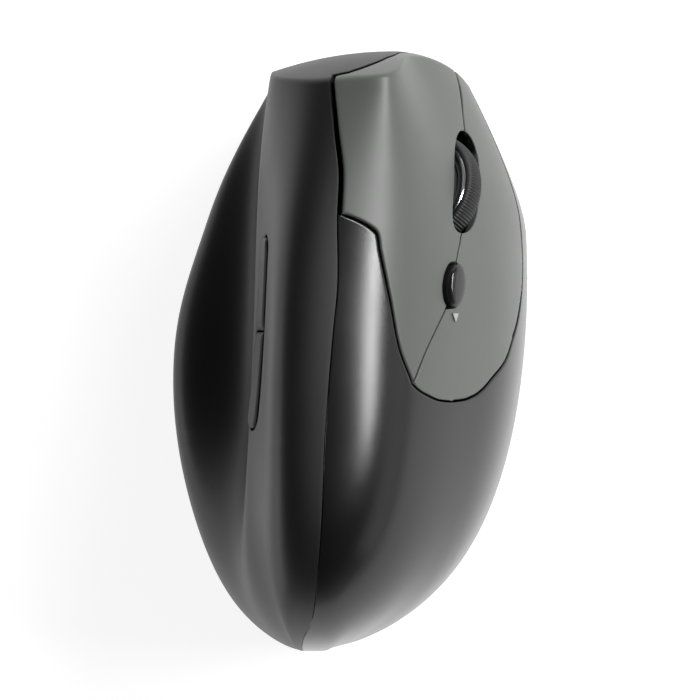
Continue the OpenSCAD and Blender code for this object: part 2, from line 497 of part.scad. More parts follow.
module wheel_switch() color([0.15, 0.15, 0.16]) wheel_place() difference() {
    translate([tact_at[0], tact_at[1], 0]) block([-2.9, -2.9, board_z + 0.2], [2.9, 2.9, -3]);
    translate([tact_at[0], tact_at[1], -4.2]) cylinder(r = 1.05, h = 4, $fn = 32);
}
module wheel_plunger() color([0.8, 0.8, 0.8]) wheel_place() translate([tact_at[0], tact_at[1], -3.5])
    cylinder(r = 1, h = 1.3, $fn = 32);
module dpi_switch() color([0.15, 0.15, 0.16]) slope() translate([-6.6, -19.7, 0]) union() {
    block([-2.9, -2.9, board_z], [2.9, 2.9, board_z + 2]);
    translate([0, 0, board_z + 1.9]) cylinder(r = 1, h = 0.8, $fn = 32);
}
// An oval cap on a stem.
module dpi_button() color([0.08, 0.08, 0.09]) dpi_place() union() {
    translate([0, 0, -2.4]) linear_extrude(2 + dpi_out) scale([dpi_w, dpi_l]) circle(r = 1, $fn = 64);
    translate([0, 0, dpi_out - 0.45]) linear_extrude(0.45) scale([dpi_w - 0.4, dpi_l - 0.4])
        circle(r = 1, $fn = 64);
    translate([0, 0, -11.95]) cylinder(r = 1.2, h = 9.95, $fn = 32);
}
module indicator_lens() color([0.8, 0.8, 0.78]) translate([kx * 20.0, ky * 6.9, edge_z + kz * 45.0])
    rotate([0, 56, 0]) translate([0, 0, -0.15]) linear_extrude(0.17) polygon([[-1, 0.8], [1, 0.8], [0, -0.9]]);

module lever(x, w) difference() {
    union() {
        block([x - w / 2, pivot_y, 2.6], [x + w / 2, switch_y + 5, 4.2]);
        block([x - w / 2, pivot_y - 2.2, pivot_z - 1], [x + w / 2, pivot_y + 2.2, 4.2]);
        rod(2.3, w, [x - w / 2, pivot_y, pivot_z]);
        for (y = [switch_y - 1, switch_y - 22]) translate([x, y, 3.6]) cylinder(r = 1.8, h = 2.2, $fn = 32);
        translate([x, switch_y, 2.36]) cylinder(r = 1.6, h = 1, $fn = 32);
    }
    rod(pin_r + fit, w + 2, [x - w / 2 - 1, pivot_y, pivot_z]);
}
lever_w = 6.6;
module left_lever() color([0.3, 0.3, 0.32]) slope() lever(lever_x[0], lever_w);
module right_lever() color([0.3, 0.3, 0.32]) slope() lever(lever_x[1], lever_w);
module pivot_pin() color([0.7, 0.7, 0.72]) slope() rod(pin_r, 37.6, [-20, pivot_y, pivot_z]);

module inner_frame() color([0.22, 0.22, 0.24]) difference() {
    union() {
        slope() block([-20, -46, -10], [15, 17, -8.4]);
        slope() for (x = [BX[0] + 3, BX[1] - 3]) for (y = [BY[0] + 3, BY[1] - 3])
            if (y < 0) translate([x, y, -9]) cylinder(r = 2.4, h = 9 + board_z - board_t, $fn = 40);
        slope() for (x = lever_x) for (side = [-1, 1]) translate([x + side * (lever_w / 2 + 1.4), 0, 0])
            block([-1.1, pivot_y - 2.6, -10], [1.1, pivot_y + 2.6, pivot_z + 2.4]);
        slope() block([9, pivot_y - 2.6, -10], [18.3, pivot_y + 2.6, -8.4]);
        slope() block([-20, BY[1] - 4.5, -9], [-15, BY[1] - 1.5, board_z - board_t]);
        slope() block([10, BY[1] - 4.5, -9], [15, BY[1] - 1.5, board_z - board_t]);
        for (p = POSTS) block([p[0], p[1], top_z], [p[0] + 3, p[1] + 6, plate_z(p[0] + 3) + (p[0] < 0 ? 1 : 2.2)]);
        for (y = [3, 39]) block([-9.2, y, edge_z + kz * 34], [-4.5, y + 4, edge_z + kz * 34 + 3]);
    }
    slope() slope_hole(1, 4.2);
    slope() rod(pin_r + 0.02, 60, [-30, pivot_y, pivot_z]);
    for (x = [BX[0] + 3, BX[1] - 3]) slope() translate([x, BY[0] + 3, -20]) cylinder(r = 0.9, h = 30, $fn = 32);
    for (y = [3, 39]) thumb_place() block([-20, y - 8, -11], [20, y + 2, -8.8 + 0.2]);
}

// --- thumb side --------------------------------------------------------------------------------
module thumb_key(v0, v1) {
    N = net(0);
    rows = spread(v0, v1, 9);
    V = concat([v0], rows);
    inset = 0.35;
    s = [-1, -0.82, -0.4, 0, 0.4, 0.82, 1];
    function uvs(v, k, out) = let(h = max(0.45, slot_half(v) - inset - (out ? 0 : 0.5)))
        u_at_z(N, slot_z(v) + k * h, v);
    function n_at(u, v) = let(a = surf(N, 0, u + 0.004, v) - surf(N, 0, u - 0.004, v),
        b = surf(N, 0, u, v + 0.004) - surf(N, 0, u, v - 0.004), c = cross(a, b)) c / norm(c);
    function bump(v, k) = let(t = 2 * (v - v0) / (v1 - v0) - 1)
        thumb_out * (1 - pow(abs(k), 4)) * (1 - 0.8 * pow(abs(t), 6)) + 0.02;
    function grid(out) = [for (v = V) [for (k = s) let(u = uvs(v, k, out), p = surf(N, 0, u, v), m = n_at(u, v))
        p + m * (out ? bump(v, k) : -2.2)]];
    grid_wall(grid(true), grid(false), [for (j = [0:8]) [for (i = [0:5]) true]]);
}
module forward_button() color([0.09, 0.09, 0.1]) thumb_key(THUMB_SPLIT + 0.0016, SLOT[1] - 0.0027);
module back_button() color([0.09, 0.09, 0.1]) thumb_key(SLOT[0] + 0.0027, THUMB_SPLIT - 0.0016);
module thumb_board() color([0.1, 0.35, 0.2]) thumb_place() block([-6, -18, -8.6], [6, 18, -7.4]);
module thumb_switch(y) thumb_place() union() {
    block([-2.5, y - 3, -7.4], [2.5, y + 3, -4.1]);
    translate([0, y, -4.2]) cylinder(r = 1, h = 0.9, $fn = 32);
}
module forward_switch() color([0.15, 0.15, 0.16]) thumb_switch(9.5);
module back_switch() color([0.15, 0.15, 0.16]) thumb_switch(-9);

// --- parts on the base -------------------------------------------------------------------------
module main_board() color([0.1, 0.35, 0.2]) difference() {
    block([-13.5, -0.5, 8], [9.5, 47, 8 + board_t]);
    for (p = POSTS) block([p[0] - 0.5, p[1] - 0.5, 0], [p[0] + 3.5, p[1] + 6.5, 20]);
    for (s = BOARD_SCREWS) translate([s[0], s[1], 0]) cylinder(r = 1.15, h = 20, $fn = 32);
    translate([sensor_at[0], sensor_at[1], 0]) cylinder(r = 2.2, h = 20, $fn = 40);
}
module main_chips() color([0.08, 0.08, 0.08]) union() {
    block([-10.5, 12, 8 + board_t], [-4.5, 18, 9 + board_t]);
    block([-10, 21, 8 + board_t], [-7, 24, 8.9 + board_t]);
    block([-3, 32, 8 + board_t], [1, 35.5, 9.2 + board_t]);
    block([4, 33, 8 + board_t], [7.5, 35, 8.8 + board_t]);
}
module sensor_chip() color([0.07, 0.07, 0.07])
    block([sensor_at[0] - 4.5, sensor_at[1] - 5, 8 + board_t], [sensor_at[0] + 4.5, sensor_at[1] + 5, 12.2]);
module sensor_lens() color([0.8, 0.85, 0.9, 0.5]) translate([sensor_at[0], sensor_at[1], 0]) union() {
    translate([0, 0, 1.6]) cylinder(r = 3.8, h = 6.2, $fn = 48);
    translate([0, 0, 1.3]) cylinder(r = 2.4, h = 0.5, $fn = 48);
}
module led_source() color([0.9, 0.2, 0.15]) translate([sensor_at[0] - 1.2, sensor_at[1] + 6, 8 + board_t])
    block([0, 0, 0], [2.4, 3, 1.6]);
module battery(x) translate([x, batt_y, batt_z]) rotate([-90, 0, 0]) union() {
    cylinder(r = batt_r, h = batt_l - 1, $fn = 64);
    cylinder(r = 1.9, h = batt_l, $fn = 32);
}
module battery_a() color([0.15, 0.35, 0.25]) battery(batt_x[0]);
module battery_b() color([0.15, 0.35, 0.25]) battery(batt_x[1]);
module battery_contacts() color([0.8, 0.78, 0.7]) union() {
    for (x = batt_x) {
        block([x - 4, batt_y + batt_l + 0.2, batt_z - 4], [x + 4, batt_y + batt_l + 0.6, batt_z + 4.6]);
        block([x - 4, batt_y - 0.9, batt_z - 4], [x + 4, batt_y - 0.5, batt_z + 4.6]);
        translate([x, batt_y - 0.6, batt_z]) rotate([-90, 0, 0]) cylinder(r = 2.4, h = 0.5, $fn = 40);
    }
    block([batt_x[0], batt_y - 0.9, batt_z + 3.6], [batt_x[1], batt_y - 0.5, batt_z + 4.6]);
}
module board_ribbon() color([0.85, 0.85, 0.82]) translate([0, 24, 0]) rotate([90, 0, 0])
    linear_extrude(9) polygon([[7.2, 8.1 + board_t], [7.6, 8.1 + board_t], [9.2, 14.2],
        [16.2, 17.6], [16.2, 18.0], [8.9, 14.6]]);
module power_body() color([0.75, 0.75, 0.76])
    block([knob_at[0] - 3.2, knob_at[1] - 2, 4.4], [knob_at[0] + 6, knob_at[1] + 2, 7.9]);
module power_knob() color([0.85, 0.85, 0.83])
    translate([knob_at[0] - 1.2, knob_at[1] - 0.9, foot_t + 0.2]) cube([2.4, 1.8, 3.2]);
module usb_receiver() color([0.7, 0.7, 0.72]) union() {
    block([usb_box[0][0] + 0.4, usb_box[1][1] - 7, 1.2], [usb_box[1][0] - 0.4, usb_box[1][1] - 0.4, 6.2]);
    block([usb_box[0][0] + 0.8, usb_box[1][1] - 19, 1.5], [usb_box[1][0] - 0.8, usb_box[1][1] - 6.8, 5.9]);
}

base_plate();
battery_door();
front_glide();
left_glide();
right_glide();
thumb_cover();
palm_cover();
left_cap();
right_cap();
indicator_lens();
dpi_button();
forward_button();
back_button();
wheel_tyre();
wheel_ring();
wheel_hub();
wheel_carrier();
carrier_spring();
encoder_body();
inner_frame();
pivot_pin();
left_lever();
right_lever();
upper_board();
left_switch();
left_plunger();
right_switch();
right_plunger();
wheel_switch();
wheel_plunger();
dpi_switch();
thumb_board();
forward_switch();
back_switch();
main_board();
main_chips();
sensor_chip();
sensor_lens();
led_source();
battery_a();
battery_b();
battery_contacts();
board_ribbon();
power_body();
power_knob();
usb_receiver();
case_screws();
board_screws();
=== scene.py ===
import math
import json
import bmesh
import bpy
import numpy as np
from mathutils import Matrix, Vector


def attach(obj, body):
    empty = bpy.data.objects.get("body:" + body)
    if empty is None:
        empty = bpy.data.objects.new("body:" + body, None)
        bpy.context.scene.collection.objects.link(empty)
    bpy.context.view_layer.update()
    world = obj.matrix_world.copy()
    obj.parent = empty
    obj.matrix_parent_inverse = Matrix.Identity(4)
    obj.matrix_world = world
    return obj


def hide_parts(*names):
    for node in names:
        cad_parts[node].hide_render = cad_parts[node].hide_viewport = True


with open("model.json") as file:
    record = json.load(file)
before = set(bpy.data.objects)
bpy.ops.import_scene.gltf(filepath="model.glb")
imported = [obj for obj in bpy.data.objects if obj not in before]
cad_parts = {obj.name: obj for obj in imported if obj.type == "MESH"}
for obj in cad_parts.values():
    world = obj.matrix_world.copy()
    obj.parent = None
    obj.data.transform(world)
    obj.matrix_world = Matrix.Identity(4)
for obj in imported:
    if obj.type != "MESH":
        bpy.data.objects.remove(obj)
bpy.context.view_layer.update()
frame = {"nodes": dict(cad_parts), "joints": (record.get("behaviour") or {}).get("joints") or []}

# ---------------------------------------------------------------------------------------------
# Thumb-side cover: a soft-touch shell with a ledge for the thumb, a slot for the two thumb
# buttons and the whole front face, turned over at the front along a rounded fold.
# ---------------------------------------------------------------------------------------------
base_edge = 3.0
centring = (0.1, 0.95)
cover_wall = 1.75
rear_wall_from, rear_wall_over = -36, 20
stations = [
    # y, left edge x z, crease share, crease x z, ridge x z, shoulder x z, side x z, right edge x z
    (-59.6, -8.0, 3.0, 0.0, -8.0, 3.0, -8.0, 3.0, -8.0, 3.0, -8.0, 3.0, -8.0, 3.0),
    (-59.8, -12.0, 9.0, 0.0, -11.0, 18.0, -8.0, 34.0, -6.5, 30.0, -5.0, 20.0, -3.5, 9.0),
    (-54.5, -21.8, 10.0, 0.0, -15.0, 30.0, -9.0, 55.0, 1.0, 50.0, 7.0, 34.0, 11.2, 12.0),
    (-40.0, -30.0, 11.0, 0.3, -20.0, 36.0, -11.5, 66.5, 5.0, 61.0, 18.0, 41.0, 25.5, 13.0),
    (-18.0, -36.0, 10.5, 1.0, -19.8, 38.0, -13.0, 67.5, 7.5, 63.0, 23.5, 40.0, 33.0, 13.0),
    (5.0, -36.2, 10.5, 1.0, -18.6, 39.0, -12.5, 67.2, 8.0, 62.5, 25.5, 39.0, 35.6, 12.0),
    (26.0, -29.8, 12.5, 1.0, -18.2, 40.0, -10.5, 65.5, 9.0, 61.5, 24.5, 41.0, 35.4, 12.0),
    (42.5, -25.0, 13.5, 1.0, -17.2, 41.0, -7.0, 62.2, 8.0, 61.0, 17.0, 44.5, 35.0, 12.0),
    (53.0, -15.6, 15.0, 1.0, -15.4, 42.0, -5.0, 59.6, 8.0, 61.0, 10.5, 44.0, 24.8, 20.0)]


def cross_section(station):
    """Control points of one section, from the thumb-side base edge over the ridge to the finger side."""
    y, xl, zl, share, xc, zc, xt, zt, xs, zs, xm, zm, xr, low = station
    if xl == xr:
        return [(xl + centring[0], y + centring[1], base_edge)] * 19
    f = xc - xl
    rec = 2.2 * min(1, f / 14)
    thumb = [(xl + 0.4, base_edge), (xl, base_edge + 3), (xl + 0.02 * f, zl - 0.5),
             (xl + 0.22 * f, zl + 1.2), (xl + 0.62 * f, zl + 2.5), (xc + 0.05 * f, zl + 5),
             (xc + rec, zc - 12), (xc + 0.2 * rec, zc - 2.5), (xc - 0.15 * rec, zc - 0.2),
             (xc + 0.45 * rec, zc + 2.5), (xc + 0.8 + 1.1 * rec, zc + 0.44 * (zt - zc))]
    arcs = [math.radians(7.5 * i) for i in range(11)]
    dome = [(xt - (xt - xl) * math.cos(a), base_edge + (zt - base_edge) * math.sin(a)) for a in arcs]
    side = [(d[0] * (1 - share) + c[0] * share, d[1] * (1 - share) + c[1] * share)
            for d, c in zip(dome, thumb)]
    finger = [(xt - 3, zt - 0.8), (xt + 5.5, zt + 0.3), (xs, zs),
              ((xs + xm) / 2 + 0.8, (zs + zm) / 2 + 0.8), (xm, zm),
              ((xm + xr) / 2 + 2.2, (zm + low) / 2 + 1.5), (xr, low), (xr, base_edge)]
    return [(x + centring[0], y + centring[1], z) for x, z in side + finger]


skin_nets = {}


def skin_net(depth):
    """The net of control points, moved inwards by the depth of a wall."""
    if depth not in skin_nets:
        rows = []
        for station in stations:
            p = np.array(cross_section(station))
            step = np.vstack([p[1:], p[-1:]]) - np.vstack([p[:1], p[:-1]])
            size = np.linalg.norm(step, axis=1, keepdims=True)
            step = step / np.maximum(size, 1e-9)
            inward = np.stack([step[:, 2], np.zeros(len(p)), -step[:, 0]], -1)
            inward[0], inward[-1] = (1, 0, 0), (-1, 0, 0)
            inward[size[:, 0] < 1e-9] = 0
            p = p + inward * depth
            p[:, 1] += depth * min(1, max(0, (rear_wall_from - station[0]) / rear_wall_over))
            rows.append(p)
        skin_nets[depth] = np.array(rows)
    return skin_nets[depth]


def spline_weights(count, t):
    """Weights of a clamped cubic spline with evenly spaced knots and that many control points."""
    t = np.clip(t, 0, 1 - 1e-12)
    spans = count - 3
    knots = np.concatenate([np.zeros(3), np.linspace(0, 1, spans + 1), np.ones(3)])
    w = np.array([(t >= knots[i]) & (t < knots[i + 1]) for i in range(len(knots) - 1)], float)
    for d in (1, 2, 3):
        up = np.zeros((len(w) - 1,) + t.shape)
        for i in range(len(w) - 1):
            a, b = knots[i + d] - knots[i], knots[i + d + 1] - knots[i + 1]
            if a > 0:
                up[i] += (t - knots[i]) / a * w[i]
            if b > 0:
                up[i] += (knots[i + d + 1] - t) / b * w[i + 1]
        w = up
    return w[:count]


front_reach, front_x, front_z = 57.7, 8, 30
thumb_bend, finger_bend, upright_bend = 0.0074, 0.0245, 0.0072
pull_from = 0.6
foot_shares = ([0, .44, .64, .8, .88, .94, 1], [0, .23, .43, .58, .68, .83, 1])


def front_y(x, z):
    """How far forward the front face lies: bulged both ways, and bent harder on the finger side."""
    x = x - centring[0]
    return (front_reach - np.where(x < front_x, thumb_bend, finger_bend) * (x - front_x) ** 2
            - upright_bend * (z - front_z) ** 2 + centring[1])


def skin(u, v, depth=0.0):
    """Points of the skin: u goes round the girth from the thumb side, v from the rear to the front."""
    u, v = np.broadcast_arrays(np.asarray(u, float), np.asarray(v, float))
    shape = u.shape
    net = skin_net(depth)
    wu, wv = spline_weights(net.shape[1], u.ravel()), spline_weights(len(net), v.ravel())
    p = np.einsum("ik,jk,ijc->kc", wv, wu, net)
    pull = np.clip((v.ravel() - pull_from) / (1 - pull_from), 0, 1) ** 2
    p[:, 1] += pull * (front_y(p[:, 0], p[:, 2]) - depth - stations[-1][0] - centring[1])
    return p.reshape(shape + (3,))


def front_foot(u, depth=0.0):
    """Where the line down the front face from girth share u meets the base."""
    left, right = skin(0.0, 1.0, depth)[0], skin(1.0, 1.0, depth)[0]
    return left + (right - left) * np.interp(u, *foot_shares)


def front_length(u):
    """Length of the front face from the arch down to the base."""
    foot = front_foot(u)
    end = np.stack([foot, front_y(foot, base_edge), np.full_like(foot, base_edge)], -1)
    return np.linalg.norm(skin(u, np.ones_like(u)) - end, axis=-1) + 1e-6


def front_face(u, down, depth=0.0):
    """Points of the front face, so many mm down from the arch at girth share u."""
    u, down = np.broadcast_arrays(np.asarray(u, float), np.asarray(down, float))
    r = np.clip(down / front_length(u), 0, 1)
    arch = skin(u, np.ones_like(u), depth)
    x = arch[..., 0] * (1 - r) + front_foot(u, depth) * r
    z = arch[..., 2] * (1 - r) + base_edge * r
    return np.stack([x, front_y(x, z) - depth, z], -1)


def smooth_line(table, x):
    """Smooth curve through (x, y) pairs with rising x."""
    tx, ty = np.array(table).T
    tangent = np.zeros(len(ty))
    for i in range(len(tx)):
        a, b = max(0, i - 1), min(len(tx) - 1, i + 1)
        tangent[i] = (ty[b] - ty[a]) / (tx[b] - tx[a])
    x = np.clip(x, tx[0], tx[-1])
    i = np.clip(np.searchsorted(tx, x, side="right") - 1, 0, len(tx) - 2)
    h = tx[i + 1] - tx[i]
    t = (x - tx[i]) / h
    return ((2 * t ** 3 - 3 * t ** 2 + 1) * ty[i] + (t ** 3 - 2 * t ** 2 + t) * h * tangent[i]
            + (3 * t ** 2 - 2 * t ** 3) * ty[i + 1] + (t ** 3 - t ** 2) * h * tangent[i + 1])


def stretch_at(u, v):
    """Millimetres for each unit of u and of v on the skin."""
    u, v = np.clip(u, 0.004, 0.996), np.clip(v, 0.004, 0.996)
    return (np.linalg.norm(skin(u + 0.004, v) - skin(u - 0.004, v), axis=-1) / 0.008,
            np.linalg.norm(skin(u, v + 0.004) - skin(u, v - 0.004), axis=-1) / 0.008)


def grid_normals(p):
    """Outward normals of a grid of points, rows along v and columns along u."""
    du, dv = np.gradient(p, axis=1), np.gradient(p, axis=0)
    n = np.cross(du, dv)
    size = np.linalg.norm(n, axis=-1, keepdims=True)
    return n / np.maximum(size, 1e-9)


def rounded_drop(p, rim, radius):
    """How far each point sinks so that the wall's rim is rounded."""
    flat = p.reshape(-1, 3)
    near = np.full(len(flat), 1e9)
    for k in range(0, len(rim), 200):
        part = rim[k:k + 200]
        for s in range(0, len(flat), 20000):
            d = np.linalg.norm(flat[s:s + 20000, None] - part[None], axis=-1).min(1)
            near[s:s + 20000] = np.minimum(near[s:s + 20000], d)
    t = np.clip(1 - near / radius, 0, 1)
    return (radius * (1 - np.sqrt(np.maximum(0, 1 - t * t)))).reshape(p.shape[:-1])


def dense(line, gap=0.12):
    """Points along a polyline, no further apart than gap."""
    out = [line[:1]]
    for a, b in zip(line[:-1], line[1:]):
        n = max(1, int(math.ceil(np.linalg.norm(b - a) / gap)))
        out.append(a + (b - a) * (np.arange(1, n + 1) / n)[:, None])
    return np.concatenate(out)


def wall_mesh(name, outer, inner, keep):
    """A closed wall between two grids of points; keep says which cells are there."""
    rows, cols = outer.shape[:2]
    verts = np.concatenate([outer.reshape(-1, 3), inner.reshape(-1, 3)]) / 1000
    off = rows * cols
    faces = []
    pad = np.zeros((rows + 1, cols + 1), bool)
    pad[1:-1, 1:-1] = keep
    for j, i in zip(*np.nonzero(keep)):
        a = j * cols + i
        b, d = a + 1, a + cols
        c = d + 1
        faces += [(a, b, c, d), (a + off, d + off, c + off, b + off)]
        if not pad[j, i + 1]:
            faces.append((b, a, a + off, b + off))
        if not pad[j + 2, i + 1]:
            faces.append((d, c, c + off, d + off))
        if not pad[j + 1, i]:
            faces.append((a, d, d + off, a + off))
        if not pad[j + 1, i + 2]:
            faces.append((c, b, b + off, c + off))
    return closed_mesh(name, verts, faces)


def closed_mesh(name, verts, faces):
    """An object from points and faces, with its doubles merged and its faces outwards."""
    mesh = bpy.data.meshes.new(name)
    mesh.from_pydata([tuple(v) for v in verts], [], [tuple(int(k) for k in f) for f in faces])
    bm = bmesh.new()
    bm.from_mesh(mesh)
    bmesh.ops.delete(bm, geom=[v for v in bm.verts if not v.link_faces], context="VERTS")
    bmesh.ops.remove_doubles(bm, verts=bm.verts, dist=2e-6)
    bmesh.ops.dissolve_degenerate(bm, dist=1e-6, edges=bm.edges)
    bmesh.ops.recalc_face_normals(bm, faces=bm.faces)
    bm.to_mesh(mesh)
    bm.free()
    mesh.shade_smooth()
    mesh.set_sharp_from_angle(angle=math.radians(38))
    piece = bpy.data.objects.new(name, mesh)
    bpy.context.scene.collection.objects.link(piece)
    return piece


class Value:
    """A shader socket that can be added, multiplied and so on."""

    def __init__(self, finish, socket):
        self.finish, self.socket = finish, socket

    def _with(self, operation, a, b):
        return self.finish.node("ShaderNodeMath", {"operation": operation}, {0: a, 1: b})

    def __add__(self, other):
        return self._with("ADD", self, other)

    def __mul__(self, other):
        return self._with("MULTIPLY", self, other)

    __radd__, __rmul__ = __add__, __mul__


class Finish:
    """A material as it is mixed up, node by node."""

    def __init__(self, name):
        self.material = bpy.data.materials.new(name)
        self.material.use_nodes = True
        self.tree = self.material.node_tree
        self.shader = self.tree.nodes["Principled BSDF"]
        self.place = self.node("ShaderNodeTexCoord", output="Object")

    def node(self, kind, settings=None, inputs=None, output=0):
        """Adds a node: its settings are set first, then its sockets are fed."""
        made = self.tree.nodes.new(kind)
        for key, value in (settings or {}).items():
            setattr(made, key, value)
        for key, value in (inputs or {}).items():
            self.feed(made.inputs[key], value)
        return Value(self, made.outputs[output])

    def feed(self, socket, value):
        if isinstance(value, Value):
            self.tree.links.new(value.socket, socket)
        else:
            socket.default_value = value

    def surface(self, **inputs):
        for key, value in inputs.items():
            self.feed(self.shader.inputs[key.replace("_", " ")], value)
        return self.material

    def grain(self, per_metre, detail=3, roughness=0.6, place=None):
        return self.node("ShaderNodeTexNoise", {"noise_dimensions": "3D"},
                         {"Vector": place or self.place, "Scale": per_metre, "Detail": detail,
                          "Roughness": roughness})

    def mix(self, share, a, b):
        return self.node("ShaderNodeMix", {"data_type": "RGBA"},
                         {0: share, 6: (*a, 1) if isinstance(a, tuple) else a,
                          7: (*b, 1) if isinstance(b, tuple) else b}, output=2)

    def bump(self, height, distance):
        return self.node("ShaderNodeBump", inputs={"Height": height, "Distance": distance,
                                                   "Strength": 1.0})

    def ramp(self, value, low, high):
        return self.node("ShaderNodeMapRange", {"clamp": True},
                         {"Value": value, "From Min": low, "From Max": high})


def moulded(name, colour, rough, grain_mm, depth_mm, spread=0.06, dust=0.15, gloss=0.5):
    """Moulded plastic: fine spark-eroded grain, slow changes of gloss and a little paler dust."""
    f = Finish(name)
    fine = f.grain(1000 / grain_mm, 2, 0.5)
    slow = f.grain(45, 4, 0.55)
    specks = f.ramp(f.grain(900, 5, 0.7), 0.62, 0.75)
    pale = tuple(min(1, c * 1.6 + 0.012) for c in colour)
    tone = f.mix(f.ramp(slow, 0.3, 0.7) * 0.35, colour, tuple(c * 0.82 for c in colour))
    return f.surface(Base_Color=f.mix(specks * dust, tone, pale),
                     Roughness=f.ramp(slow, 0.25, 0.75) * spread + fine * 0.05 + rough,
                     Normal=f.bump(fine, depth_mm / 1000), Specular_IOR_Level=gloss)


# Outlines on the skin are lists of (v, u): the share of the length and the share of the girth.
seam_line = [(0, .61), (.136, .64), (.2, .664), (.36, .687), (.52, .695), (.66, .7), (.735, .701),
             (.832, .694), (.896, .688), (.958, .67), (1, .655)]
slot_ends = (0.517, 0.8)
slot_half_height = 3.4
slot_height, slot_rise = 38.5, 6
slot_length_mm, slot_girth_mm, seam_girth_mm = 137, 140, 130
slot_share = slot_half_height / slot_length_mm
fold_radius = 1.0
lip_depth = ([.655, .68, .7, .75, .8, .85, .9, .94, .962, .972],
             [.8, 2.2, 4.4, 11, 12.6, 9, 10.7, 12, 4, 0])
lip_gap, tail_gap = 1.5, 0.15
rim_steps = np.array([0.0, 0.05, 0.13, 0.25, 0.42])
slot_round, seam_round = 0.4, 0.12


def slot_middle(v):
    return base_edge + slot_height + slot_rise * (v - slot_ends[0]) / (slot_ends[1] - slot_ends[0])


def slot_half(v):
    d = np.minimum(v - slot_ends[0], slot_ends[1] - v)
    arc = slot_half_height * np.sqrt(np.clip(1 - (1 - np.clip(d / slot_share, 0, 1)) ** 2, 0, 1))
    return np.where(d <= 0, 0.6, np.maximum(0.6, arc))


def girth_at_height(z, v):
    """Girth share where the thumb wall is z high."""
    low, high = np.full_like(v, 0.4), np.full_like(v, 0.62)
    for _ in range(24):
        mid = (low + high) / 2
        under = skin(mid, v)[..., 2] < z
        low, high = np.where(under, mid, low), np.where(under, high, mid)
    return (low + high) / 2


def over_fold(u, radius, depth=0.0):
    """Rows that take the skin over the front fold in an arc, and where each column leaves the top."""
    along = stretch_at(u, np.full_like(u, 0.996))[1]
    v0 = 1 - radius / along
    start, corner = skin(u, v0, depth), skin(u, np.ones_like(u), depth)
    end = front_face(u, radius, depth)
    t = np.linspace(0, 1, 8)[:, None, None]
    return start * (1 - t) ** 2 + corner * 2 * t * (1 - t) + end * t ** 2, v0


slot_lines = (0.04, 0.09, 0.17, 0.3)
seam_v = np.concatenate([
    np.linspace(0, 0.1, 14)[:-1], np.linspace(0.1, 0.5, 50)[:-1],
    [slot_ends[0] - s * slot_share for s in slot_lines[::-1]],
    slot_ends[0] + slot_share * (1 - np.cos(np.linspace(0, math.pi / 2, 9))),
    np.linspace(slot_ends[0] + 1.1 * slot_share, slot_ends[1] - 1.1 * slot_share, 36),
    slot_ends[1] - slot_share * (1 - np.cos(np.linspace(math.pi / 2, 0, 9))),
    [slot_ends[1] + s * slot_share for s in slot_lines],
    np.linspace(0.815, 0.9, 13)])
fold_v = np.linspace(0.9, 1, 14)[1:]


def cover_columns(v, left=56, mid=8, right=34):
    """Girth shares of the cover's columns at v, and the two columns that bound the slot."""
    a = girth_at_height(slot_middle(v) - slot_half(v), np.clip(v, 0.3, 1))
    b = girth_at_height(slot_middle(v) + slot_half(v), np.clip(v, 0.3, 1))
    s = smooth_line(seam_line, v)
    lower = [k / left for k in range(left)]
    cols = [a * t * 0.985 for t in lower]
    cols += [a - c / slot_girth_mm for c in rim_steps[:0:-1]] + [a]
    cols += [a + (b - a) * t for t in np.linspace(0, 1, mid + 1)[1:]]
    cols += [b + c / slot_girth_mm for c in rim_steps[1:]]
    start, stop = b + 0.6 / slot_girth_mm, s - 0.5 / seam_girth_mm
    cols += [start + (stop - start) * t for t in np.linspace(0, 1, right)]
    cols += [s - c / seam_girth_mm for c in rim_steps[::-1]]
    return np.stack(cols, -1), (left + 4, left + 4 + mid)


def lip_limit(u):
    """How far down the front face the cover begins, clear of the caps' lips."""
    return np.interp(u, *lip_depth) + np.where(u > 0.968, tail_gap, lip_gap)


main_u, slot_cols = cover_columns(seam_v)
fold_u, _ = cover_columns(np.array([1.0]))
fold_u = fold_u[0]
fold_u[0] = 0
fold_r = np.full_like(fold_u, fold_radius)
lead_u = np.array([cover_columns(np.array([v]))[0][0] for v in fold_v])
panel_u = np.concatenate([[fold_u[-1] + 0.0016, fold_u[-1] + 0.003],
                          np.linspace(fold_u[-1] + 0.006, 1, 64),
                          [.68, .7, .725, .75, .775, .8, .825, .85, .875, .9, .92, .94, .951, .962, .972]])
panel_u = np.unique(panel_u)
full, panel_full = front_length(fold_u), front_length(panel_u)
panel_top = np.minimum(lip_limit(panel_u), panel_full)
first_front = len(seam_v) + len(fold_v) - 1 + 8 - 1


def cover_grid(depth):
    """Points of the cover at a depth inside its skin."""
    arc, v0 = over_fold(fold_u, fold_r, depth)
    lead = 0.9 + (fold_v[:, None] - 0.9) / 0.1 * (v0[None] - 0.9)
    down = fold_r + (full - fold_r) * np.linspace(0, 1, 34)[1:, None]
    left = np.concatenate([skin(main_u, seam_v[:, None], depth), skin(lead_u, lead, depth)[:-1], arc,
                           front_face(fold_u[None], down, depth)])
    rows = []
    for j in range(len(left)):
        k = j - first_front
        near = np.interp(k, range(5), rim_steps)
        share = max(0, (k - 4) / (len(left) - 1 - first_front - 4))
        top = np.minimum(panel_top + near, panel_full)
        rows.append(front_face(panel_u, top * (1 - share) + panel_full * share, depth))
    return np.concatenate([left, np.array(rows)], 1)


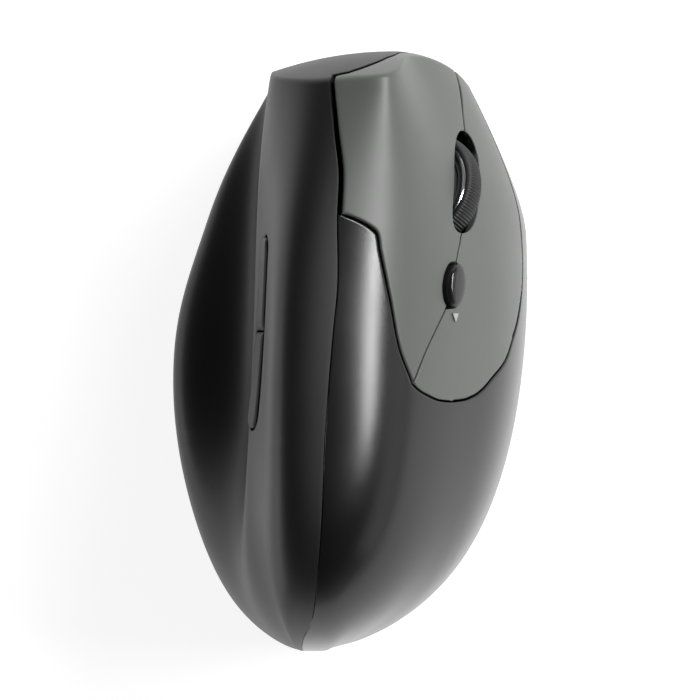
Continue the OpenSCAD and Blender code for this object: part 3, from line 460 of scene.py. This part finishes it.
cover, cover_inside = cover_grid(0.0), cover_grid(cover_wall)
keep = np.ones((cover.shape[0] - 1, cover.shape[1] - 1), bool)
keep[:first_front, len(fold_u) - 1:] = False
in_slot = [j for j in range(len(seam_v) - 1)
           if seam_v[j] >= slot_ends[0] - 1e-6 and seam_v[j + 1] <= slot_ends[1] + 1e-6]
keep[in_slot[0]:in_slot[-1] + 1, slot_cols[0]:slot_cols[1]] = False
cover_normal = grid_normals(cover)
cover_normal[:first_front + 1, :len(fold_u)] = grid_normals(cover[:, :len(fold_u)])[:first_front + 1]
cover_normal[first_front:, len(fold_u):] = grid_normals(cover[first_front:])[:, len(fold_u):]
slot_rim = np.concatenate([dense(cover[in_slot[0]:in_slot[-1] + 2, slot_cols[0]]),
                           dense(cover[in_slot[0]:in_slot[-1] + 2, slot_cols[1]]),
                           dense(cover[in_slot[0], slot_cols[0]:slot_cols[1] + 1]),
                           dense(cover[in_slot[-1] + 1, slot_cols[0]:slot_cols[1] + 1])])
seam_rim = np.concatenate([dense(cover[7:first_front + 1, len(fold_u) - 1]),
                           dense(cover[first_front, len(fold_u) - 1:-6])])
sink = np.maximum(rounded_drop(cover, slot_rim, slot_round), rounded_drop(cover, seam_rim, seam_round))
thumb_cover = wall_mesh("thumb_side_cover", cover - cover_normal * sink[..., None], cover_inside, keep)
soft_touch = moulded("soft_touch_black", (0.0045, 0.0045, 0.005), 0.42, 0.16, 0.016, 0.06, 0.10, 0.5)
thumb_cover.data.materials.append(soft_touch)
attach(thumb_cover, "case")
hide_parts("thumb_cover")

# ---------------------------------------------------------------------------------------------
# Button caps: two satin grey caps that meet along a split line, which opens out for the wheel
# and for the oval button, and turn over the front fold as lips.
# ---------------------------------------------------------------------------------------------
cap_left_line = [(.583, .778), (.63, .762), (.702, .75), (.776, .738), (.8, .7345), (.81, .728),
                 (.822, .715), (.832, .7)]
split_line = [(.583, .778), (.634, .795), (.69, .819), (.724, .831), (.758, .836), (.806, .852),
              (.874, .879), (.936, .906), (.962, .918), (1, .942)]
tip_line = [(.558, .832), (.56, .816), (.566, .801), (.574, .787), (.583, .778)]
cap_right_line = [(.558, .838), (.56, .858), (.57, .881), (.59, .902), (.612, .923), (.642, .936),
                  (.678, .949), (.74, .96), (.82, .965), (1, .965)]
wheel_slot, wheel_slot_half = (0.871, 0.069), 3.95
oval_middle, oval_turn_deg, oval_half, oval_gap = (0.8298, 0.7243), 14, (4.2, 2.9), 0.42
oval_girth_mm, oval_length_mm = 210, 128.6
front_widening, outer_round, split_round = 0.16, 0.5, 0.2
cap_gap, seam_gap, step_top = 0.35, 0.7, 0.832


def split_edge(v, side, extra=0.0):
    """Girth share of a cap's edge along the split, opened out for the wheel and the oval button."""
    u = smooth_line(split_line, v)
    mu, mv = stretch_at(u, v)
    lean = (smooth_line(split_line, v + 0.002) - smooth_line(split_line, v - 0.002)) / 0.004 * mu / mv
    d = np.clip(np.abs(v - wheel_slot[0]) / (wheel_slot[1] + extra * 0.0475), 0, 1)
    opening = cap_gap / 2 + (wheel_slot_half + extra) * np.sqrt(1 - d ** 4) * (d < 1)
    opening = opening + front_widening * np.clip((v - 0.96) / 0.02, 0, 1)
    edge = u + side * opening * np.sqrt(1 + lean ** 2) / mu
    s, c = math.sin(math.radians(oval_turn_deg)), math.cos(math.radians(oval_turn_deg))
    long, short = oval_half[0] + oval_gap, oval_half[1] + oval_gap
    y = (v - oval_middle[1]) * oval_length_mm
    p = c * c / short ** 2 + s * s / long ** 2
    q = 2 * y * s * c * (1 / long ** 2 - 1 / short ** 2)
    root = q * q - 4 * p * (y * y * (s * s / short ** 2 + c * c / long ** 2) - 1)
    oval = oval_middle[0] + (-q + side * np.sqrt(np.maximum(root, 0))) / 2 / p / oval_girth_mm
    return np.where(root > 0, (np.minimum if side < 0 else np.maximum)(edge, oval), edge)


def set_in(table, v, gap, side):
    """Girth share of an outline moved by gap mm into the cap that lies above it."""
    u = smooth_line(table, v)
    mu, mv = stretch_at(u, v)
    return smooth_line(table, v - 0.8 * gap / mv) + side * 0.8 * gap / mu


def ends_close(a, b, n):
    """Numbers from a to b that crowd at both ends."""
    return a + (b - a) * (1 - np.cos(np.linspace(0, math.pi, n))) / 2


cap_v = np.unique(np.concatenate([
    0.583 + 0.037 * np.linspace(0.05, 1, 14) ** 1.5, np.linspace(0.62, 0.99, 120),
    np.linspace(0.795, step_top, 26), [step_top + 0.0008, step_top + 0.003],
    ends_close(wheel_slot[0] - wheel_slot[1], wheel_slot[0] + wheel_slot[1], 41),
    ends_close(oval_middle[1] - 0.0345, oval_middle[1] + 0.0345, 31)]))
cap_v = cap_v[np.concatenate([[True], np.diff(cap_v) > 1e-4])]
cap_v = np.append(cap_v[cap_v < 0.998], 1.0)
tip_v = 0.558 + 0.025 * np.linspace(0, 1, 30)[:-1] ** 2
tip_v = tip_v[tip_v < cap_v[0] - 3e-4]


def edge_shares(width, columns):
    """Shares across each row: a few close to either edge and the rest even."""
    e = np.minimum(rim_steps / np.maximum(width[:, None], 1e-6), 0.02 + 0.28 * rim_steps / rim_steps[-1])
    even = np.linspace(0, 1, columns)[1:-1]
    return np.concatenate([e, e[:, -1:] + (1 - 2 * e[:, -1:]) * even, 1 - e[:, ::-1]], 1)


def cap_patch(name, v, left, right, left_inside, right_inside, columns):
    """A cap between two lines of girth shares, turned over the fold into its lip."""
    width = np.linalg.norm(skin(left, v) - skin(right, v), axis=-1)
    t = edge_shares(width, columns)
    grids = []
    for a, b, depth in ((left, right, 0.0), (left_inside, right_inside, cover_wall)):
        u = a[:, None] * (1 - t) + b[:, None] * t
        last = u[-1]
        lip = np.maximum(0.3, np.interp(last, *lip_depth))
        r = np.minimum(fold_radius, lip * 0.6)
        arc, v0 = over_fold(last, r, depth)
        rows = np.repeat(v[:, None], t.shape[1], 1)
        rows = np.where(rows > 0.9, 0.9 + (rows - 0.9) / 0.1 * (v0[None] - 0.9), rows)
        downs = [r + (lip - 0.45 - r) * k for k in np.linspace(0, 1, 12)[1:]]
        downs = [np.minimum(d, lip * 0.97) for d in downs]
        downs += [np.maximum(lip - g, downs[-1] + 0.001 * i) for i, g in enumerate(rim_steps[-2::-1], 1)]
        grids.append(np.concatenate([skin(u, rows, depth)[:-1], arc,
                                     front_face(last[None], np.array(downs), depth)]))
    p, inside = grids
    n = grid_normals(p)
    outer, split = (0, -1) if name.startswith("left") else (-1, 0)
    crisp = np.concatenate([dense(p[:, split]), dense(p[0]), dense(p[-1])])
    sink = np.maximum(rounded_drop(p, dense(p[:, outer]), outer_round), rounded_drop(p, crisp, split_round))
    keep = np.ones((p.shape[0] - 1, p.shape[1] - 1), bool)
    return wall_mesh(name, p - n * sink[..., None], inside, keep)


def left_edge(v, more=0.0):
    mu = stretch_at(smooth_line(seam_line, v), v)[0]
    return np.where(v <= step_top, set_in(cap_left_line, v, cap_gap / 2 + 0.05 + more, 1),
                    smooth_line(seam_line, v) + 0.001 + (seam_gap + more) / mu)


left_cap = cap_patch("left_button_cap", cap_v, left_edge(cap_v), split_edge(cap_v, -1),
                     left_edge(cap_v, 0.45), split_edge(cap_v, -1, 0.2), 90)
all_v = np.concatenate([tip_v, cap_v])[3:]
outer_edge = set_in(cap_right_line, all_v, cap_gap / 2 + np.where(all_v > 0.65, 0.35, 0.05), -1)


def right_split(v, extra=0.0):
    return np.where(v < 0.583, set_in(tip_line, v, cap_gap / 2, 1), split_edge(v, 1, extra))


right_cap = cap_patch("right_button_cap", all_v,
                      np.minimum(right_split(all_v), outer_edge - 0.002), outer_edge,
                      np.minimum(right_split(all_v, 0.2), outer_edge - 0.002), outer_edge, 90)
cap_grey = moulded("satin_grey", (0.093, 0.098, 0.093), 0.36, 0.10, 0.004, 0.05, 0.05)
for cap, body, node in ((left_cap, "left_button", "left_cap"), (right_cap, "right_button", "right_cap")):
    cap.data.materials.append(cap_grey)
    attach(cap, body)
    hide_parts(node)

# ---------------------------------------------------------------------------------------------
# Palm cover: a satin black shell that fills the ring between the caps, the seam with the
# thumb-side cover and the base. It clips to the inner frame.
# ---------------------------------------------------------------------------------------------
up = cap_v[cap_v <= step_top + 1e-9]
ring_in = np.concatenate([
    np.stack([smooth_line(cap_left_line, up[::-1]), up[::-1]], -1),
    np.stack([smooth_line(tip_line, tip_v[::-1]), tip_v[::-1]], -1),
    np.stack([smooth_line(cap_right_line, tip_v), tip_v], -1),
    np.stack([smooth_line(cap_right_line, cap_v), cap_v], -1)])
ring_mu, ring_mv = stretch_at(ring_in[:, 0], ring_in[:, 1])
step = np.gradient(ring_in, axis=0) * np.stack([ring_mu, ring_mv], -1)
step /= np.linalg.norm(step, axis=1, keepdims=True) + 1e-12
ring_in = ring_in + cap_gap / 2 * np.stack([step[:, 1] / ring_mu, -step[:, 0] / ring_mv], -1)
ring_in[-1, 1] = 1
f = np.linspace(0, 1, len(ring_in))
lower_v = np.interp(f, [0, .3, .4], [step_top, .36, 0])
ring_out = np.stack([
    np.where(f < .4, smooth_line(seam_line, lower_v) + 0.0006,
             np.interp(f, [.4, .43], [smooth_line(seam_line, np.array([0.0]))[0], 1])),
    np.where(f < .4, lower_v, np.interp(f, [.43, .53, 1], [0, .36, 1]))], -1)
span = np.linalg.norm(skin(*ring_in.T) - skin(*ring_out.T), axis=-1)
t = edge_shares(span, 56).T[..., None]
ring_uv = np.moveaxis(ring_in[None] * (1 - t) + ring_out[None] * t, -1, 0)[:, ::-1]
ring, ring_inside = skin(*ring_uv), skin(*ring_uv, cover_wall)
sink = np.maximum(rounded_drop(ring, dense(ring[-1]), 0.35),
                  rounded_drop(ring, dense(ring[0][f < .39]), seam_round))
palm_cover = wall_mesh("palm_cover_shell", ring - grid_normals(ring) * sink[..., None], ring_inside,
                       np.ones((ring.shape[0] - 1, ring.shape[1] - 1), bool))
palm_black = moulded("satin_black", (0.005, 0.005, 0.0055), 0.19, 0.14, 0.004, 0.04, 0.05)
palm_cover.data.materials.append(palm_black)
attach(palm_cover, "case")
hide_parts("palm_cover")

# ---------------------------------------------------------------------------------------------
# Thumb buttons: two crowned keys in the slot of the thumb wall, polished a little by use.
# ---------------------------------------------------------------------------------------------
key_split = 0.657
key_gap, key_taper, key_depth, key_crown = 0.45, 0.5, 2.2, 0.5


def thumb_key(name, v_start, v_end, body, node):
    """A key between two shares of the length, crowned above the skin and tapered inwards."""
    v = v_start + (v_end - v_start) * (1 - np.cos(np.linspace(0, math.pi, 44))) / 2
    k = np.sin(np.linspace(-math.pi / 2, math.pi / 2, 25))
    vv = np.repeat(v[:, None], len(k), 1)
    grids = []
    for taper in (0, key_taper):
        half = np.maximum(key_gap, slot_half(v) - key_gap - taper)
        grids.append(girth_at_height(slot_middle(vv) + k[None] * half[:, None], vv))
    p = skin(grids[0], vv)
    n = grid_normals(p)
    inside = skin(grids[1], vv) - n * key_depth
    s = 2 * (vv - v_start) / (v_end - v_start) - 1
    crown = key_crown * (1 - np.abs(k[None]) ** 8) * (1 - 0.8 * np.abs(s) ** 16) + 0.02
    piece = wall_mesh(name, p + n * crown[..., None], inside, np.ones((len(v) - 1, len(k) - 1), bool))
    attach(piece, body)
    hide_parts(node)
    return piece


key_black = moulded("satin_key_black", (0.005, 0.005, 0.0055), 0.30, 0.2, 0.004, 0.06, 0.08, 0.15)
for key in (thumb_key("forward_key", key_split + 0.0016, slot_ends[1] - 0.0042,
                      "thumb_forward", "forward_button"),
            thumb_key("back_key", slot_ends[0] + 0.0032, key_split - 0.0016,
                      "thumb_back", "back_button")):
    key.data.materials.append(key_black)

# ---------------------------------------------------------------------------------------------
# Scroll wheel: a rubber tyre with fine ribs across its tread, on a grey hub with a bright ring
# on each side. The ribs are one wedge of tyre repeated round the axle.
# ---------------------------------------------------------------------------------------------
spin = [j for j in frame["joints"] if j["name"] == "wheel_spin"][0]
slope_deg, wheel_skew_deg = 60, -20.4
slope_turn = (Matrix.Translation(spin["pos_m"]) @ Matrix.Rotation(math.radians(slope_deg), 4, "Y")
              @ Matrix.Rotation(math.radians(wheel_skew_deg), 4, "Z"))
tyre_radius, tyre_width, ring_radius, tyre_fit = 0.012, 0.0052, 0.01045, 2e-5
rib_count = 120


def ring_tree(name, material):
    """Repeats a wedge round the x axis, merges it and gives it its material."""
    tree = bpy.data.node_groups.new(name, "GeometryNodeTree")
    tree.interface.new_socket("Wedge", in_out="INPUT", socket_type="NodeSocketGeometry")
    count = tree.interface.new_socket("Count", in_out="INPUT", socket_type="NodeSocketInt")
    tree.interface.new_socket("Ring", in_out="OUTPUT", socket_type="NodeSocketGeometry")
    new, link = tree.nodes.new, tree.links.new
    start, end = new("NodeGroupInput"), new("NodeGroupOutput")
    line, index, turn = new("GeometryNodeMeshLine"), new("GeometryNodeInputIndex"), new("ShaderNodeMath")
    share, angles = new("ShaderNodeMath"), new("ShaderNodeCombineXYZ")
    copies, real = new("GeometryNodeInstanceOnPoints"), new("GeometryNodeRealizeInstances")
    weld, paint = new("GeometryNodeMergeByDistance"), new("GeometryNodeSetMaterial")
    line.inputs["Offset"].default_value = (0, 0, 0)
    share.operation, turn.operation = "DIVIDE", "MULTIPLY"
    turn.inputs[1].default_value = 2 * math.pi
    weld.inputs["Distance"].default_value = 2e-6
    paint.inputs["Material"].default_value = material
    link(start.outputs["Count"], line.inputs["Count"])
    link(index.outputs[0], share.inputs[0])
    link(start.outputs["Count"], share.inputs[1])
    link(share.outputs[0], turn.inputs[0])
    link(turn.outputs[0], angles.inputs["X"])
    link(line.outputs[0], copies.inputs["Points"])
    link(start.outputs["Wedge"], copies.inputs["Instance"])
    link(angles.outputs[0], copies.inputs["Rotation"])
    link(copies.outputs[0], real.inputs[0])
    link(real.outputs[0], weld.inputs[0])
    link(weld.outputs[0], paint.inputs[0])
    link(paint.outputs[0], end.inputs[0])
    return tree, count.identifier


def grown(wedge, tree, settings, name):
    """Runs a node tree on an object and keeps the result as a plain mesh."""
    modifier = wedge.modifiers.new("grow", "NODES")
    modifier.node_group = tree
    for key, value in settings.items():
        modifier[key] = value
    wedge.update_tag()
    shown = wedge.evaluated_get(bpy.context.evaluated_depsgraph_get())
    mesh = bpy.data.meshes.new_from_object(shown)
    wedge.modifiers.remove(modifier)
    bpy.data.objects.remove(wedge)
    mesh.name = name
    piece = bpy.data.objects.new(name, mesh)
    bpy.context.scene.collection.objects.link(piece)
    return piece


tread = []
for k in range(19):
    s = -1 + 2 * k / 18
    x = s * tyre_width / 2
    r = tyre_radius - 0.0007 * abs(s) ** 2.6 - 0.0004 * max(0, (abs(s) - 0.88) / 0.12) ** 2
    tread.append((x, r, max(0.0, 1 - abs(s) ** 6)))
bead = [(tyre_width / 2 * 0.98, 0.0106, 0), (tyre_width / 2 * 0.8, ring_radius + tyre_fit, 0)]
profile = tread + bead + [(-x, r, ribbed) for x, r, ribbed in bead[::-1]]
verts, faces = [], []
slices = 6
for a in range(slices + 1):
    turn = 2 * math.pi / rib_count * a / slices
    dip = 0.00026 * abs(math.cos(math.pi * a / slices)) ** 1.5
    for x, r, ribbed in profile:
        rr = r - dip * ribbed
        verts.append((x, -rr * math.sin(turn), rr * math.cos(turn)))
n = len(profile)
for a in range(slices):
    for k in range(n):
        q = a * n + k
        p = a * n + (k + 1) % n
        faces.append((q, p, p + n, q + n))
mesh = bpy.data.meshes.new("rib_wedge")
mesh.from_pydata(verts, [], faces)
wedge = bpy.data.objects.new("rib_wedge", mesh)
bpy.context.scene.collection.objects.link(wedge)
rubber = Finish("tyre_rubber")
fine = rubber.grain(5200, 2)
worn = rubber.ramp(rubber.grain(260), .3, .7)
rubber_black = rubber.surface(Base_Color=rubber.mix(worn, (.011, .011, .012), (.019, .019, .020)),
                              Roughness=rubber.ramp(rubber.grain(500), .3, .7) * 0.1 + 0.5,
                              Normal=rubber.bump(fine, 0.00001))
tree, count_socket = ring_tree("ribbed_tyre", rubber_black)
tyre = grown(wedge, tree, {count_socket: rib_count}, "ribbed_tyre")


def outward(piece, sharp=38):
    """Points a closed piece's faces outwards and shades it smooth up to a sharp angle."""
    bm = bmesh.new()
    bm.from_mesh(piece.data)
    bmesh.ops.recalc_face_normals(bm, faces=bm.faces)
    bm.to_mesh(piece.data)
    bm.free()
    piece.data.shade_smooth()
    piece.data.set_sharp_from_angle(angle=math.radians(sharp))


def turned(name, profile, segments, material, body, node):
    """A turned part: a closed profile of (x, radius) pairs spun round the x axis."""
    verts, faces, n = [], [], len(profile)
    for a in range(segments):
        c, s = math.cos(2 * math.pi * a / segments), math.sin(2 * math.pi * a / segments)
        verts += [(x, -r * s, r * c) for x, r in profile]
    for a in range(segments):
        b = (a + 1) % segments
        for k in range(n):
            j = (k + 1) % n
            faces.append((a * n + k, a * n + j, b * n + j, b * n + k))
    piece = closed_mesh(name, verts, faces)
    piece.data.transform(slope_turn)
    outward(piece, 30)
    piece.data.materials.append(material)
    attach(piece, body)
    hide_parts(node)


tyre.data.transform(slope_turn)
outward(tyre, 60)
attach(tyre, "wheel")
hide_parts("wheel_tyre")

bright = Finish("polished_ring")
bright_metal = bright.surface(Base_Color=(.82, .82, .84, 1), Metallic=1.0,
                              Roughness=bright.ramp(bright.grain(900), .3, .7) * 0.06 + 0.1)
half = tyre_width / 2
ring_section = [(-0.0008, 0.0008), (-0.00002, 0.0008), (0.00008, 0.0007), (0.0001, 0.0004),
                (0.00006, 0.00012), (-0.00008, 0.00002), (-0.0008, 0.00002)]
for side, sign in (("left", -1), ("right", 1)):
    section = [(sign * (half + out), ring_radius - under) for out, under in ring_section]
    turned("bright_ring_" + side, section, 160, bright_metal, "wheel", "wheel_ring")
hub_finish = moulded("hub_grey", (0.12, 0.122, 0.124), 0.35, 0.2, 0.004)
seat = ring_radius - 0.00084
hub_side = [(0.0059, 0.0), (0.0059, 0.0014), (0.0058, 0.0015), (half - 0.0002, 0.0015),
            (half - 0.0002, 0.0024), (half - 0.0006, 0.0028), (half - 0.0006, seat - 0.0012),
            (half - 0.0003, seat - 0.0008), (half - 0.0003, seat), (half - 0.0009, seat),
            (half - 0.0009, ring_radius - 0.00004)]
hub_profile = [(-x, r) for x, r in hub_side] + hub_side[::-1]
turned("wheel_hub_and_axle", hub_profile, 96, hub_finish, "wheel", "wheel_hub")

# ---------------------------------------------------------------------------------------------
# Oval button behind the wheel: a glossy black crowned cap on a stem. It is plain.
# ---------------------------------------------------------------------------------------------
oval_seat, oval_tilt_deg = (0.0197, 0.01305, 0.0482), 56
stem_radius, stem_foot, cap_foot = 0.0012, -0.01195, -0.0024
oval_turn = (Matrix.Translation(oval_seat) @ Matrix.Rotation(math.radians(oval_tilt_deg), 4, "Y")
             @ Matrix.Rotation(math.radians(-oval_turn_deg), 4, "Z"))
crown_rings = [(0.0, 0.00150), (0.3, 0.00148), (0.55, 0.00141), (0.72, 0.00131), (0.84, 0.00119),
               (0.91, 0.00104), (0.96, 0.00082), (0.985, 0.00055), (1.0, 0.0002)]
rings_of = crown_rings + [(1.0, cap_foot), (0.5, cap_foot), (0.5, stem_foot), (0.0, stem_foot)]
verts, faces, around = [], [], 72
for s, z in rings_of:
    for a in range(around):
        c, d = math.cos(2 * math.pi * a / around), math.sin(2 * math.pi * a / around)
        if z < -0.002 and s <= 0.5:
            verts.append((stem_radius * c * s * 2, stem_radius * d * s * 2, z))
        else:
            verts.append((oval_half[1] / 1000 * s * c, oval_half[0] / 1000 * s * d, z))
for k in range(len(rings_of) - 1):
    for a in range(around):
        b = (a + 1) % around
        faces.append((k * around + a, k * around + b, (k + 1) * around + b, (k + 1) * around + a))
oval = closed_mesh("oval_button", verts, faces)
oval.data.transform(oval_turn)
outward(oval)
gloss = Finish("gloss_black")
handled = gloss.ramp(gloss.grain(300), .3, .7)
gloss_black = gloss.surface(Base_Color=gloss.mix(handled, (.010, .010, .011), (.016, .016, .017)),
                            Roughness=gloss.ramp(gloss.grain(700, 4), .3, .7) * 0.08 + 0.14,
                            Normal=gloss.bump(gloss.grain(2500), 0.000004))
oval.data.materials.append(gloss_black)
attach(oval, "resolution_button")
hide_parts("dpi_button")

# ---------------------------------------------------------------------------------------------
# Parts that keep their CAD shape: base, feet, frame, boards, switches, cells and screws. Each
# gets the finish of its own material.
# ---------------------------------------------------------------------------------------------
base_black = moulded("base_black", (0.012, 0.012, 0.013), 0.42, 0.25, 0.012)
frame_black = moulded("frame_plastic", (0.03, 0.03, 0.033), 0.4, 0.3, 0.01)
glide_grey = moulded("glide_pad", (0.07, 0.07, 0.074), 0.3, 0.1, 0.002)
switch_black = moulded("switch_body", (0.014, 0.014, 0.015), 0.36, 0.2, 0.004)
plunger_red = moulded("plunger_red", (0.5, 0.07, 0.03), 0.3, 0.2, 0.002)
knob_white = moulded("knob_white", (0.6, 0.6, 0.58), 0.38, 0.2, 0.003)
ribbon_white = moulded("ribbon_white", (0.66, 0.66, 0.63), 0.45, 0.3, 0.004)
ivory = moulded("encoder_ivory", (0.6, 0.57, 0.48), 0.4, 0.3, 0.004)
lens_pale = moulded("pale_lens", (0.33, 0.34, 0.33), 0.3, 0.2, 0.001)
led_red = moulded("led_red", (0.5, 0.02, 0.015), 0.15, 0.3, 0.001)

metal = Finish("spring_steel")
brushed = metal.node("ShaderNodeMapping", inputs={"Vector": metal.place, "Scale": (1, 30, 1)})
steel = metal.surface(Base_Color=metal.mix(metal.grain(400), (.5, .5, .51), (.66, .66, .66)), Metallic=1.0,
                      Roughness=metal.ramp(metal.grain(700, 3, .6, brushed), .3, .7) * 0.18 + 0.2)
board = Finish("solder_mask")
tracks = board.node("ShaderNodeTexBrick", {"offset": 0.5},
                    {"Vector": board.place, "Scale": 420.0, "Mortar Size": 0.03,
                     "Color1": (.012, .09, .035, 1), "Color2": (.016, .12, .045, 1),
                     "Mortar": (.05, .25, .1, 1)})
board_green = board.surface(Base_Color=tracks, Roughness=board.ramp(board.grain(500), .3, .7) * 0.1 + 0.22,
                            Normal=board.bump(board.grain(900), 0.00002))
wrap = Finish("cell_wrap")
bands = wrap.node("ShaderNodeSeparateXYZ", inputs={"Vector": wrap.place}, output=1)
ends = wrap.ramp(bands, -0.018, -0.0175)
cell_wrap = wrap.surface(Base_Color=wrap.mix(ends, (.03, .14, .07), (.55, .42, .16)), Metallic=0.6,
                         Roughness=wrap.ramp(wrap.grain(300), .3, .7) * 0.1 + 0.28)
optic = Finish("sensor_optic")
clear = optic.surface(Base_Color=(.9, .93, .95, 1), Transmission_Weight=1.0,
                      Roughness=optic.ramp(optic.grain(500), .3, .7) * 0.05 + 0.04)
finishes = {
    "base_plate": base_black, "battery_door": base_black, "front_glide": glide_grey,
    "left_glide": glide_grey, "right_glide": glide_grey, "indicator_lens": lens_pale,
    "wheel_carrier": frame_black, "carrier_spring": steel, "encoder_body": ivory,
    "inner_frame": frame_black, "pivot_pin": steel, "left_lever": frame_black,
    "right_lever": frame_black, "upper_board": board_green, "left_switch": switch_black,
    "left_plunger": plunger_red, "right_switch": switch_black, "right_plunger": plunger_red,
    "wheel_switch": switch_black, "wheel_plunger": knob_white, "dpi_switch": switch_black,
    "thumb_board": board_green, "forward_switch": switch_black, "back_switch": switch_black,
    "main_board": board_green, "main_chips": switch_black, "sensor_chip": switch_black,
    "sensor_lens": clear, "led_source": led_red, "battery_a": cell_wrap, "battery_b": cell_wrap,
    "battery_contacts": steel, "board_ribbon": ribbon_white, "power_body": steel,
    "power_knob": knob_white, "usb_receiver": steel, "case_screws": steel, "board_screws": steel}
for node, finish in finishes.items():
    slots = frame["nodes"][node].data.materials
    slots.clear()
    slots.append(finish)

# ---------------------------------------------------------------------------------------------
# Studio: a flat opal table lit from below, a dim sky that is palest at the horizon, a strip
# light over the finger side, and three weak panels low down at the front and on both sides.
# ---------------------------------------------------------------------------------------------
scene = bpy.context.scene
scene.view_settings.view_transform = "Standard"
mesh = bpy.data.meshes.new("studio_floor")
mesh.from_pydata([(-3, -3, 0), (3, -3, 0), (3, 3, 0), (-3, 3, 0)], [], [(0, 1, 2, 3)])
floor = bpy.data.objects.new("studio_floor", mesh)
scene.collection.objects.link(floor)
opal = Finish("opal_table")
floor.data.materials.append(opal.surface(
    Base_Color=opal.mix(opal.grain(3), (.36, .36, .36), (.39, .39, .39)), Roughness=0.9,
    Emission_Color=(1, 1, 1, 1), Emission_Strength=0.88))

world = bpy.data.worlds.new("studio")
scene.world = world
world.use_nodes = True
sky = world.node_tree
place = sky.nodes.new("ShaderNodeTexCoord")
split = sky.nodes.new("ShaderNodeSeparateXYZ")
ramp = sky.nodes.new("ShaderNodeValToRGB")
sky.links.new(place.outputs["Generated"], split.inputs[0])
sky.links.new(split.outputs["Z"], ramp.inputs[0])
ramp.color_ramp.elements[0].position, ramp.color_ramp.elements[0].color = 0.0, (.6, .6, .6, 1)
ramp.color_ramp.elements[1].position, ramp.color_ramp.elements[1].color = 0.85, (.008, .008, .0085, 1)
for height, tone in ((0.12, 0.36), (0.3, 0.12), (0.5, 0.03)):
    ramp.color_ramp.elements.new(height).color = (tone, tone, tone * 1.01, 1)
sky.links.new(ramp.outputs[0], sky.nodes["Background"].inputs[0])
sky.nodes["Background"].inputs[1].default_value = 1.0


def panel(name, at, size, power, aim=(0, 0, 0.03)):
    """A soft rectangular studio light that faces a point."""
    lamp = bpy.data.lights.new(name, "AREA")
    lamp.shape, lamp.size, lamp.size_y, lamp.energy = "RECTANGLE", size[0], size[1], power
    holder = bpy.data.objects.new(name, lamp)
    holder.location = at
    holder.rotation_euler = (Vector(aim) - Vector(at)).to_track_quat("-Z", "Y").to_euler()
    scene.collection.objects.link(holder)


panel("strip_light", (0.820, 0.46, 0.900), (1.3, 0.17), 22)
panel("front_panel", (0.0, 1.5, 0.4), (1.8, 0.4), 2)
panel("finger_side_panel", (1.6, -0.1, 0.45), (1.8, 0.5), 2)
panel("thumb_side_panel", (-1.4, -0.6, 0.2), (1.8, 0.35), 7)

camera = bpy.data.objects.new("camera", bpy.data.cameras.new("camera"))
camera.location = (-0.0001, 0.00075, 0.8)
camera.data.lens = 203.66
camera.data.sensor_width = 36
camera.data.clip_start = 0.01
scene.collection.objects.link(camera)
scene.camera = camera
